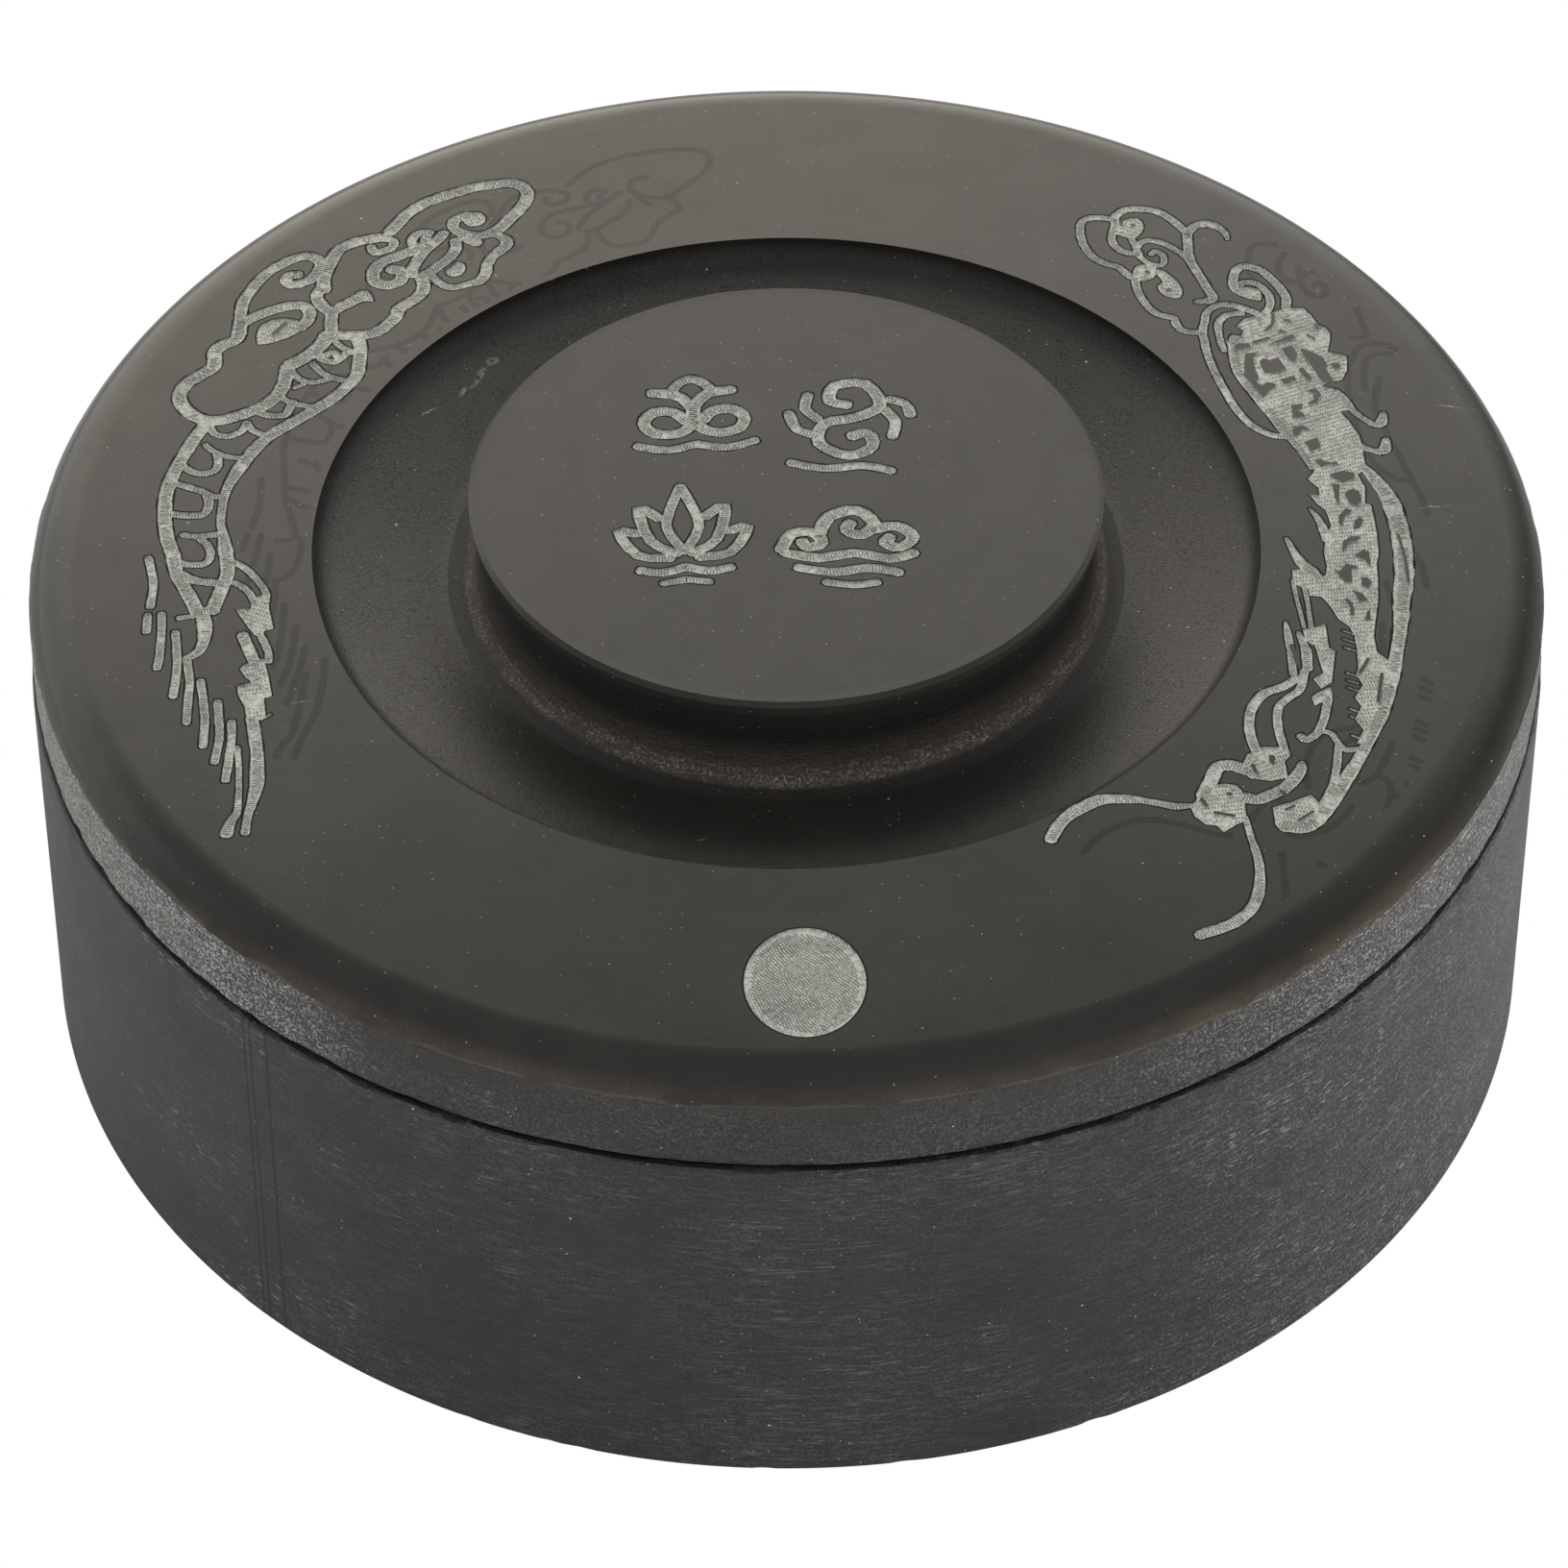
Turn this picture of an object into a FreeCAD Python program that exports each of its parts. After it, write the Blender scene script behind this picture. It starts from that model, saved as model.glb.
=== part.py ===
import FreeCAD, Part
import math
import os

import Sketcher

# A covered round inkstone, turned from two pieces of dark stone.
# base_stone is a thick disc with a raised lip round a carved well: a grinding
# floor that falls gently to a deep crescent pool at the back.
# lid_stone is a flat disc that drops over the lip. Its top has a dished trough
# round a low, slightly undercut knob, and its underside is hollowed for the lip.
# Lengths are millimetres. +Z is up, the front is towards -Y, and the origin is
# the centre of the base's underside.

SIZE_ROWS = [
    ("base_radius", 50.2, "outside radius of the base"),
    ("base_height", 28.2, "height of the base, floor to the seat of the lid"),
    ("foot_chamfer", 0.5, "bevel round the bottom edge of the base"),
    ("seat_width", 5.8, "flat seat outside the lip, where the lid rests"),
    ("seat_chamfer", 0.2, "bevel on the two outer edges that meet at the seat"),
    ("lip_height", 2.0, "height of the lip above the seat"),
    ("lip_width", 3.6, "thickness of the lip"),
    ("lip_bevel", 0.6, "bevel on the lip's two top edges"),
    ("well_depth", 6.5, "depth of the grinding floor at the front, from the lip's top"),
    ("floor_fall", 1.5, "how far the grinding floor falls from front to pool"),
    ("well_corner", 2.0, "bevel where the well's wall meets its floor"),
    ("pool_depth", 7.0, "depth of the pool below the grinding floor"),
    ("pool_slope_run", 9.0, "length of the slope from grinding floor to pool bottom"),
    ("pool_edge_radius", 70.0, "plan radius of the edge between floor and pool"),
    ("pool_edge_setback", 23.0, "distance of that edge behind the well's centre"),
    ("lid_inset", 0.2, "how much smaller the lid's radius is than the base's"),
    ("lip_clearance", 0.35, "gap round the lip, inside the lid"),
    ("lip_headroom", 0.5, "gap above the lip, inside the lid"),
    ("recess_corner", 0.8, "slope left in the corner of the lid's hollow"),
    ("roof_thickness", 2.38, "stone left between the trough and the lid's hollow"),
    ("rim_fall", 0.4, "how far the lid's flat ring falls from trough to shoulder"),
    ("bevel_width", 1.8, "width of the worn bevel round the lid's top edge"),
    ("bevel_drop", 1.9, "height of that bevel"),
    ("bevel_curve", 5.0, "radius of the bevel's convex face"),
    ("knob_radius", 20.85, "radius of the knob's top"),
    ("knob_height", 4.36, "height of the knob above the ring round the trough"),
    ("knob_edge", 0.3, "bevel on the knob's top edge"),
    ("knob_land", 0.6, "height of the knob's upright edge above the hollow of its side"),
    ("neck_inset", 0.45, "how far the knob's side is cut back at its foot"),
    ("neck_curve", 9.0, "radius of the hollow in the knob's side"),
    ("foot_fillet", 2.0, "rounding at the foot of the knob"),
    ("trough_width", 10.42, "width of the trough between knob and ring"),
    ("trough_depth", 2.8, "depth of the trough at the foot of the knob"),
    ("trough_wall_run", 1.47, "plan width of the trough's outer wall"),
    ("trough_wall_drop", 1.5, "height of the trough's outer wall"),
    ("trough_wall_curve", 1.9, "radius of the trough's outer wall"),
]

FULL_TURN = 360.0
CLOSE_ENOUGH = 0.001
CUBIC_MM_IN_CUBIC_CM = 1000

# How a sketch numbers the two ends and the centre of a shape, and its own axes.
START, FINISH, CENTRE = 1, 2, 3
ORIGIN = (-1, 1)
LEVEL_AXIS = -1
UPRIGHT_AXIS = -2


class Size:
    """A length that carries both its value and its formula in the sheet."""

    def __init__(self, value, formula):
        self.value = value
        self.formula = formula

    def __add__(self, other):
        return Size(self.value + other.value, f"({self.formula} + {other.formula})")

    def __sub__(self, other):
        return Size(self.value - other.value, f"({self.formula} - {other.formula})")


ZERO = Size(0.0, "0.0")


def make_sheet(doc):
    """Writes every size into the sheet and returns them by name."""
    sheet = doc.addObject("Spreadsheet::Sheet", "sizes")
    sizes = {}
    for row, (alias, value, meaning) in enumerate(SIZE_ROWS, start=1):
        sheet.set(f"A{row}", alias)
        sheet.set(f"B{row}", str(value))
        sheet.setAlias(f"B{row}", alias)
        sheet.set(f"C{row}", meaning)
        sizes[alias] = Size(value, f"sizes.{alias}")
    doc.recompute()
    return sizes


def make_body(doc, name):
    body = doc.addObject("PartDesign::Body", name)
    body.Label = name
    return body


def attach_sketch(body, name, plane_role):
    """An empty sketch on one of the body's own origin planes."""
    planes = [f for f in body.Origin.OriginFeatures if f.Role == plane_role]
    sketch = body.newObject("Sketcher::SketchObject", name)
    sketch.AttachmentSupport = (planes[0], [""])
    sketch.MapMode = "FlatFace"
    return sketch


def tie(sketch, constraint, formula):
    """Adds one constraint and drives it from the sheet."""
    index = sketch.addConstraint(constraint)
    sketch.setExpression(f"Constraints[{index}]", formula)


def pin_point(sketch, geometry, end, across, up):
    """Fixes a sketch point at two sizes, or on an axis where a size is nothing."""
    if across is ZERO:
        sketch.addConstraint(Sketcher.Constraint("PointOnObject", geometry, end, UPRIGHT_AXIS))
    else:
        rule = Sketcher.Constraint("DistanceX", *ORIGIN, geometry, end, across.value)
        tie(sketch, rule, across.formula)
    if up is ZERO:
        sketch.addConstraint(Sketcher.Constraint("PointOnObject", geometry, end, LEVEL_AXIS))
    else:
        rule = Sketcher.Constraint("DistanceY", *ORIGIN, geometry, end, up.value)
        tie(sketch, rule, up.formula)


def arc_between(start, finish, radius, centre_side):
    """The short arc from start to finish. Its centre lies left (+1) or right (-1) of the way along."""
    chord = finish - start
    middle = (start + finish) * 0.5
    rise = math.sqrt(max(radius * radius - chord.Length**2 / 4, 0.0))
    across = FreeCAD.Vector(-chord.y, chord.x, 0).normalize()
    centre = middle + across * rise * centre_side
    first, last = (start, finish) if centre_side > 0 else (finish, start)
    first_angle = math.atan2(first.y - centre.y, first.x - centre.x)
    last_angle = math.atan2(last.y - centre.y, last.x - centre.x)
    circle = Part.Circle(centre, FreeCAD.Vector(0, 0, 1), radius)
    return Part.ArcOfCircle(circle, first_angle, last_angle)


def draw_profile(body, name, corners, arcs=None):
    """A closed half-section in the body's XZ plane, with every corner tied to the sheet.

    arcs gives, for the side that starts at a corner's number, its radius and the
    side on which its centre lies; the other sides are straight.
    """
    arcs = arcs or {}
    sketch = attach_sketch(body, name, "XZ_Plane")
    points = [FreeCAD.Vector(a.value, u.value, 0) for a, u in corners]
    starts = []
    finishes = []
    for i, point in enumerate(points):
        following = points[(i + 1) % len(points)]
        if i in arcs:
            radius, centre_side = arcs[i]
            shape = arc_between(point, following, radius.value, centre_side)
            geometry = sketch.addGeometry(shape, False)
            tie(sketch, Sketcher.Constraint("Radius", geometry, radius.value), radius.formula)
            ends = (START, FINISH) if centre_side > 0 else (FINISH, START)
        else:
            geometry = sketch.addGeometry(Part.LineSegment(point, following), False)
            ends = (START, FINISH)
        starts.append((geometry, ends[0]))
        finishes.append((geometry, ends[1]))
    for i, (across, up) in enumerate(corners):
        sketch.addConstraint(Sketcher.Constraint("Coincident", *finishes[i - 1], *starts[i]))
        pin_point(sketch, *starts[i], across, up)
    return sketch


def turn(body, name, corners, arcs=None):
    """Turns a solid from a half-section."""
    sketch = draw_profile(body, f"{name}_section", corners, arcs)
    feature = body.newObject("PartDesign::Revolution", name)
    feature.Profile = sketch
    feature.ReferenceAxis = (sketch, ["V_Axis"])
    feature.Angle = FULL_TURN
    body.Document.recompute()


def turn_away(body, name, corners, arcs=None):
    """Cuts a turned hollow, and makes sure that it removed stone."""
    before = body.Shape.Volume
    sketch = draw_profile(body, f"{name}_section", corners, arcs)
    feature = body.newObject("PartDesign::Groove", name)
    feature.Profile = sketch
    feature.ReferenceAxis = (sketch, ["V_Axis"])
    feature.Angle = FULL_TURN
    body.Document.recompute()
    if body.Shape.Volume >= before:
        raise RuntimeError(f"{name} cut nothing")


def circle_edges(shape, radius, height):
    """The numbers of the full-circle edges of that radius at that height."""
    found = []
    for number, edge in enumerate(shape.Edges, start=1):
        curve = edge.Curve
        if not isinstance(curve, Part.Circle):
            continue
        same_size = abs(curve.Radius - radius) < CLOSE_ENOUGH
        if same_size and abs(curve.Center.z - height) < CLOSE_ENOUGH:
            found.append(number)
    if not found:
        raise RuntimeError(f"no edge of radius {radius:.2f} at height {height:.2f}")
    return found


def bevel_edge(body, name, radius, height, size):
    """Bevels one turned edge of a body."""
    base = body.Tip
    numbers = circle_edges(base.Shape, radius.value, height.value)
    feature = body.newObject("PartDesign::Chamfer", name)
    feature.Base = (base, [f"Edge{number}" for number in numbers])
    feature.setExpression("Size", size.formula)
    body.Document.recompute()


def wall_foot_edges(shape, centre, radius, floor_height):
    """The edges that run along the foot of a round wall, no higher than the floor."""
    names = []
    for number, edge in enumerate(shape.Edges, start=1):
        middle = edge.valueAt((edge.FirstParameter + edge.LastParameter) / 2)
        from_wall = math.hypot(middle.x - centre.x, middle.y - centre.y) - radius
        upright = abs(edge.tangentAt(edge.FirstParameter).z) > 1 - CLOSE_ENOUGH
        low = middle.z < floor_height + CLOSE_ENOUGH
        if low and abs(from_wall) < CLOSE_ENOUGH and not upright:
            names.append(f"Edge{number}")
    return names


def make_base_blank(doc, s):
    """The base as it comes off the lathe, with its lip and no well yet."""
    body = make_body(doc, "base_blank")
    lip_radius = s["base_radius"] - s["seat_width"]
    lip_top = s["base_height"] + s["lip_height"]
    corners = [
        (ZERO, ZERO),
        (s["base_radius"], ZERO),
        (s["base_radius"], s["base_height"]),
        (lip_radius, s["base_height"]),
        (lip_radius, lip_top),
        (ZERO, lip_top),
    ]
    turn(body, "base_disc", corners)
    bevel_edge(body, "foot_bevel", s["base_radius"], ZERO, s["foot_chamfer"])
    bevel_edge(body, "seat_bevel", s["base_radius"], s["base_height"], s["seat_chamfer"])
    bevel_edge(body, "lip_outer_bevel", lip_radius, lip_top, s["lip_bevel"])
    return body


def make_well_form(doc, s):
    """The space carved out of the base, as a solid to cut with.

    It is turned about the centre of the pool's edge, in front of the stone, so
    that the floor falls to the pool and the pool's edge is an arc. A ring is then
    cut away, which leaves the round wall of the well.
    """
    body = make_body(doc, "well_form")
    well_radius = s["base_radius"] - s["seat_width"] - s["lip_width"]
    setback = s["pool_edge_radius"] - s["pool_edge_setback"]
    lip_top = s["base_height"] + s["lip_height"]
    floor_front = lip_top - s["well_depth"]
    floor_back = floor_front - s["floor_fall"]
    pool_bottom = floor_back - s["pool_depth"]
    slope_foot = s["pool_edge_radius"] + s["pool_slope_run"]
    reach = setback + well_radius + well_radius
    above = lip_top + s["lip_height"]
    corners = [
        (ZERO, floor_front),
        (s["pool_edge_radius"], floor_back),
        (slope_foot, pool_bottom),
        (reach, pool_bottom),
        (reach, above),
        (ZERO, above),
    ]
    turn(body, "floor_and_pool", corners)

    sketch = attach_sketch(body, "well_outline", "XY_Plane")
    centre = FreeCAD.Vector(0, setback.value, 0)
    outside = reach + well_radius
    for radius in (well_radius, outside):
        circle = Part.Circle(centre, FreeCAD.Vector(0, 0, 1), radius.value)
        geometry = sketch.addGeometry(circle, False)
        pin_point(sketch, geometry, CENTRE, ZERO, setback)
        tie(sketch, Sketcher.Constraint("Radius", geometry, radius.value), radius.formula)
    before = body.Shape.Volume
    ring = body.newObject("PartDesign::Pocket", "outside_the_well")
    ring.Profile = sketch
    ring.Type = "ThroughAll"
    ring.Reversed = True
    doc.recompute()
    if body.Shape.Volume >= before:
        raise RuntimeError("the ring outside the well was not cut away")

    corner = body.newObject("PartDesign::Chamfer", "well_corner_bevel")
    corner.Base = (ring, wall_foot_edges(ring.Shape, centre, well_radius.value, floor_front.value))
    corner.setExpression("Size", s["well_corner"].formula)
    body.setExpression("Placement.Base.y", f"-{setback.formula}")
    doc.recompute()
    return body


def make_base_stone(doc, s):
    """The base with its well cut and the inner edge of the lip bevelled."""
    carved = doc.addObject("Part::Cut", "carved_base")
    carved.Base = make_base_blank(doc, s)
    carved.Tool = make_well_form(doc, s)
    doc.recompute()
    well_radius = s["base_radius"] - s["seat_width"] - s["lip_width"]
    lip_top = s["base_height"] + s["lip_height"]
    stone = doc.addObject("Part::Chamfer", "base_stone")
    stone.Label = "base_stone"
    stone.Base = carved
    bevel = s["lip_bevel"].value
    numbers = circle_edges(carved.Shape, well_radius.value, lip_top.value)
    stone.Edges = [(number, bevel, bevel) for number in numbers]
    doc.recompute()
    return stone


def make_lid_stone(doc, s):
    """The lid. Its own zero height is the face that rests on the base's seat."""
    body = make_body(doc, "lid_stone")
    lid_radius = s["base_radius"] - s["lid_inset"]
    recess_radius = s["base_radius"] - s["seat_width"] + s["lip_clearance"]
    recess_height = s["lip_height"] + s["lip_headroom"]
    trough_low = recess_height + s["roof_thickness"]
    plate_top = trough_low + s["trough_depth"]
    trough_radius = s["knob_radius"] + s["trough_width"]
    shoulder_radius = lid_radius - s["bevel_width"]
    shoulder_height = plate_top - s["rim_fall"]
    knob_top = plate_top + s["knob_height"]

    corners = [
        (ZERO, ZERO),
        (lid_radius, ZERO),
        (lid_radius, shoulder_height - s["bevel_drop"]),
        (shoulder_radius, shoulder_height),
        (trough_radius, plate_top),
        (s["knob_radius"], plate_top),
        (s["knob_radius"], knob_top),
        (ZERO, knob_top),
    ]
    turn(body, "lid_disc", corners, {2: (s["bevel_curve"], 1)})

    neck_radius = s["knob_radius"] - s["neck_inset"]
    edge_height = knob_top - s["knob_land"]
    trough = [
        (trough_radius, plate_top),
        (trough_radius - s["trough_wall_run"], plate_top - s["trough_wall_drop"]),
        (neck_radius + s["foot_fillet"], trough_low),
        (neck_radius, trough_low + s["foot_fillet"]),
        (s["knob_radius"], edge_height),
        (trough_radius, edge_height),
    ]
    hollows = {
        0: (s["trough_wall_curve"], -1),
        2: (s["foot_fillet"], -1),
        3: (s["neck_curve"], -1),
    }
    turn_away(body, "trough", trough, hollows)

    recess = [
        (ZERO, ZERO),
        (recess_radius, ZERO),
        (recess_radius, recess_height - s["recess_corner"]),
        (recess_radius - s["recess_corner"], recess_height),
        (ZERO, recess_height),
    ]
    turn_away(body, "lip_recess", recess)

    bevel_edge(body, "knob_edge_bevel", s["knob_radius"], knob_top, s["knob_edge"])
    bevel_edge(body, "rim_bevel", lid_radius, ZERO, s["seat_chamfer"])
    body.setExpression("Placement.Base.z", s["base_height"].formula)
    doc.recompute()
    return body


def check_document(doc):
    """Stops if any feature failed, which a recompute alone doesn't report."""
    for item in doc.Objects:
        bad = [word for word in ("Invalid", "Error") if word in item.State]
        if bad:
            raise RuntimeError(f"{item.Name} is {bad[0]}")


def main():
    doc = FreeCAD.newDocument("covered_inkstone")
    sizes = make_sheet(doc)
    pieces = [make_base_stone(doc, sizes), make_lid_stone(doc, sizes)]
    doc.recompute()
    check_document(doc)
    os.makedirs("parts", exist_ok=True)
    for piece in pieces:
        shape = piece.Shape
        if shape.isNull() or not shape.isValid() or len(shape.Solids) != 1:
            raise RuntimeError(f"{piece.Label} is not one valid solid")
        shape.exportStep(os.path.join("parts", f"{piece.Label}.step"))
        box = shape.optimalBoundingBox(False, False)
        print(
            f"{piece.Label}: volume {shape.Volume / CUBIC_MM_IN_CUBIC_CM:.2f} cm3, "
            f"heights {box.ZMin:.2f} to {box.ZMax:.2f}, width {box.XLength:.2f}"
        )


main()
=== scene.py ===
import math
import random

import bpy
from mathutils import Matrix, Vector
from mathutils.geometry import delaunay_2d_cdt


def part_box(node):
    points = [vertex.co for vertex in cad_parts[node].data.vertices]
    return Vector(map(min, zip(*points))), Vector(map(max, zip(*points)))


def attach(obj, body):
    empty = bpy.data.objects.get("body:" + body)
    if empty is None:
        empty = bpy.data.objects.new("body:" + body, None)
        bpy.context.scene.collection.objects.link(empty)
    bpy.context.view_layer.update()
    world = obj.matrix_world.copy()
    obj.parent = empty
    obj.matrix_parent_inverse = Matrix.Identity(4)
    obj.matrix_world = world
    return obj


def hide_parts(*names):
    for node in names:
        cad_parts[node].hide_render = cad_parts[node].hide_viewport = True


# A covered round inkstone: a thick disc with a carved well, and a flat lid with a knob in a
# dished trough. The cloud and dragon engraving on the lid is cut as real grooves. Shapes are
# worked out in millimetres and turned to metres when a mesh is made.

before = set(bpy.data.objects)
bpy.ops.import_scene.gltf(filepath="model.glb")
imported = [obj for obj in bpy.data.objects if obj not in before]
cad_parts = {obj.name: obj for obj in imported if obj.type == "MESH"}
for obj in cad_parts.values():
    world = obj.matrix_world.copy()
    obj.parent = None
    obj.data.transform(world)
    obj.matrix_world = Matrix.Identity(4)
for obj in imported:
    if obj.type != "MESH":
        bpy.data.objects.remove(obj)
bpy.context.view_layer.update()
mm = 0.001
roundSteps = 780
# Material numbers on the lid. Its rubbed top has number 0.
cutSlot, footSlot, sideSlot, cutShadowSlot, ghostSlot = 1, 2, 3, 4, 5
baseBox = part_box("base_stone")
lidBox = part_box("lid_stone")
lidSeat = lidBox[0][2] / mm
lidTop = lidBox[1][2] / mm


# Shape helpers

# Chips take one to three points to each side of their middle, and most are far from full depth.
chips = dict(reaches=(1, 1, 1, 2, 2, 3), shallowest=0.2)
# The graver's cuts: points for each part of a stroke, the rounded tips and the uneven width,
# as parts of a cut's width.
graver = dict(steps=3, tipReach=0.3, tipWidth=0.5, narrowest=0.92, widest=1.08)
# Outlines under this area in square millimetres aren't cut, and points this close are joined.
smallestArea = 1e-5
joinedWithin = 1e-4


# Points along a smooth curve through the given ones.
def smoothLine(points, steps, closed=False):
    result = []
    count = len(points)
    last = count if closed else count - 1
    for i in range(last):
        if closed:
            around = [points[(i + k) % count] for k in (-1, 0, 1, 2)]
        else:
            around = [points[min(max(i + k, 0), count - 1)] for k in (-1, 0, 1, 2)]
        for step in range(steps):
            t = step / steps
            spot = []
            for a, b, c, d in zip(*around):
                bend = 2 * a - 5 * b + 4 * c - d
                twist = 3 * b - a - 3 * c + d
                spot.append(0.5 * (2 * b + (c - a) * t + bend * t**2 + twist * t**3))
            result.append(tuple(spot))
    if not closed:
        result.append(tuple(points[-1]))
    return result


# Points of the short arc from start to finish, with its centre left (+1) or right (-1).
def arcPoints(start, finish, radius, side, steps):
    a = Vector(start)
    b = Vector(finish)
    chord = b - a
    rise = math.sqrt(max(radius**2 - chord.length_squared / 4, 0.0))
    centre = (a + b) / 2 + Vector((-chord.y, chord.x)).normalized() * rise * side
    first = math.atan2(a.y - centre.y, a.x - centre.x)
    last = math.atan2(b.y - centre.y, b.x - centre.x)
    turn = (last - first + math.pi) % (2 * math.pi) - math.pi
    angles = [first + turn * k / steps for k in range(steps + 1)]
    return [(centre.x + radius * math.cos(t), centre.y + radius * math.sin(t)) for t in angles]


def circlePoint(radius, step):
    angle = 2 * math.pi * step / roundSteps
    return radius * math.cos(angle), radius * math.sin(angle)


# Vertices in millimetres and faces with material numbers, gathered into one mesh.
class Shell:
    def __init__(self):
        self.vertices = []
        self.faces = []
        self.materials = []

    def add(self, x, y, z):
        self.vertices.append((x * mm, y * mm, z * mm))
        return len(self.vertices) - 1

    def face(self, corners, material=0):
        self.faces.append(corners)
        self.materials.append(material)

    def ring(self, radius, height):
        return [self.add(*circlePoint(radius, k), height) for k in range(roundSteps)]

    # Quads between two rings; the outside is on the right of the way from lower to upper.
    def band(self, lower, upper, material=0):
        for k in range(roundSteps):
            n = (k + 1) % roundSteps
            self.face((lower[k], lower[n], upper[n], upper[k]), material)

    def disc(self, rim, height, down=False, material=0):
        centre = self.add(0, 0, height)
        for k in range(roundSteps):
            n = (k + 1) % roundSteps
            first, second = (n, k) if down else (k, n)
            self.face((rim[first], rim[second], centre), material)

    # Turned surface along a profile of (radius, height), with a material for each band.
    def lathe(self, profile, materials=None):
        rings = [self.ring(radius, height) for radius, height in profile]
        for i in range(len(rings) - 1):
            self.band(rings[i], rings[i + 1], materials[i] if materials else 0)
        return rings

    # Small chips and dents: draws points of a ring towards the axis by up to depth, and up or
    # down by lift times as much.
    def chip(self, ring, rng, count, depth, lift):
        for _ in range(count):
            middle = rng.randrange(roundSteps)
            reach = rng.choice(chips["reaches"])
            deep = depth * rng.uniform(chips["shallowest"], 1.0) ** 2
            for k in range(-reach, reach + 1):
                share = deep * (1 - abs(k) / (reach + 1))
                index = ring[(middle + k) % roundSteps]
                x, y, z = self.vertices[index]
                radius = math.hypot(x, y)
                shrink = 1 - share * mm / radius
                self.vertices[index] = (x * shrink, y * shrink, z + share * lift * mm)

    def build(self, name, materials, sharpAngle):
        mesh = bpy.data.meshes.new(name)
        mesh.from_pydata(self.vertices, [], self.faces)
        for material in materials:
            mesh.materials.append(material)
        mesh.polygons.foreach_set("material_index", self.materials)
        mesh.polygons.foreach_set("use_smooth", [True] * len(self.faces))
        mesh.update()
        mesh.set_sharp_from_angle(angle=math.radians(sharpAngle))
        return addToScene(name, mesh)


def addToScene(name, data):
    added = bpy.data.objects.new(name, data)
    bpy.context.scene.collection.objects.link(added)
    return added


def signedArea(points):
    sides = zip(points, points[1:] + points[:1])
    return sum(a[0] * b[1] - b[0] * a[1] for a, b in sides) / 2


# A rounded tip at each end of a line of (x, y, width).
def rounded(line):
    tips = []
    for end, inner in ((line[0], line[1]), (line[-1], line[-2])):
        outward = (Vector(end[:2]) - Vector(inner[:2])).normalized() * end[2] * graver["tipReach"]
        tips.append((end[0] + outward.x, end[1] + outward.y, end[2] * graver["tipWidth"]))
    return [tips[0]] + line + [tips[1]]


# A stroke as a smooth line of (x, y, width). A point may carry its own width.
def strokeLine(points, width):
    full = [p if len(p) == 3 else (*p, width) for p in points]
    return smoothLine(full, graver["steps"])


# Triangles that cover one cut of the graver; grow widens the whole cut.
def ribbon(points, width, rng, grow=0.0):
    line = rounded(strokeLine(points, width))
    uneven = graver["narrowest"], graver["widest"]
    left = []
    right = []
    for i, (x, y, w) in enumerate(line):
        before = Vector(line[max(i - 1, 0)][:2])
        after = Vector(line[min(i + 1, len(line) - 1)][:2])
        along = (after - before).normalized()
        across = Vector((-along.y, along.x))
        here = Vector((x, y))
        if grow and i in (0, len(line) - 1):
            here += along * (grow if i else -grow)
        left.append(here + across * (w / 2 * rng.uniform(*uneven) + grow))
        right.append(here - across * (w / 2 * rng.uniform(*uneven) + grow))
    triangles = []
    for i in range(len(line) - 1):
        triangles.append([left[i], right[i], right[i + 1]])
        triangles.append([left[i], right[i + 1], left[i + 1]])
    return triangles


# True where the spot lies inside the closed outline.
def contains(outline, spot):
    inside = False
    for a, b in zip(outline, outline[1:] + outline[:1]):
        if (a[1] > spot[1]) != (b[1] > spot[1]):
            if spot[0] < a[0] + (b[0] - a[0]) * (spot[1] - a[1]) / (b[1] - a[1]):
                inside = not inside
    return inside


# A closed outline, moved outwards.
def grown(outline, distance):
    turn = 1 if signedArea(outline) > 0 else -1
    result = []
    for i, point in enumerate(outline):
        before = Vector(outline[i - 1])
        after = Vector(outline[(i + 1) % len(outline)])
        along = (after - before).normalized()
        result.append(Vector(point) + Vector((along.y, -along.x)) * distance * turn)
    return result
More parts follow.
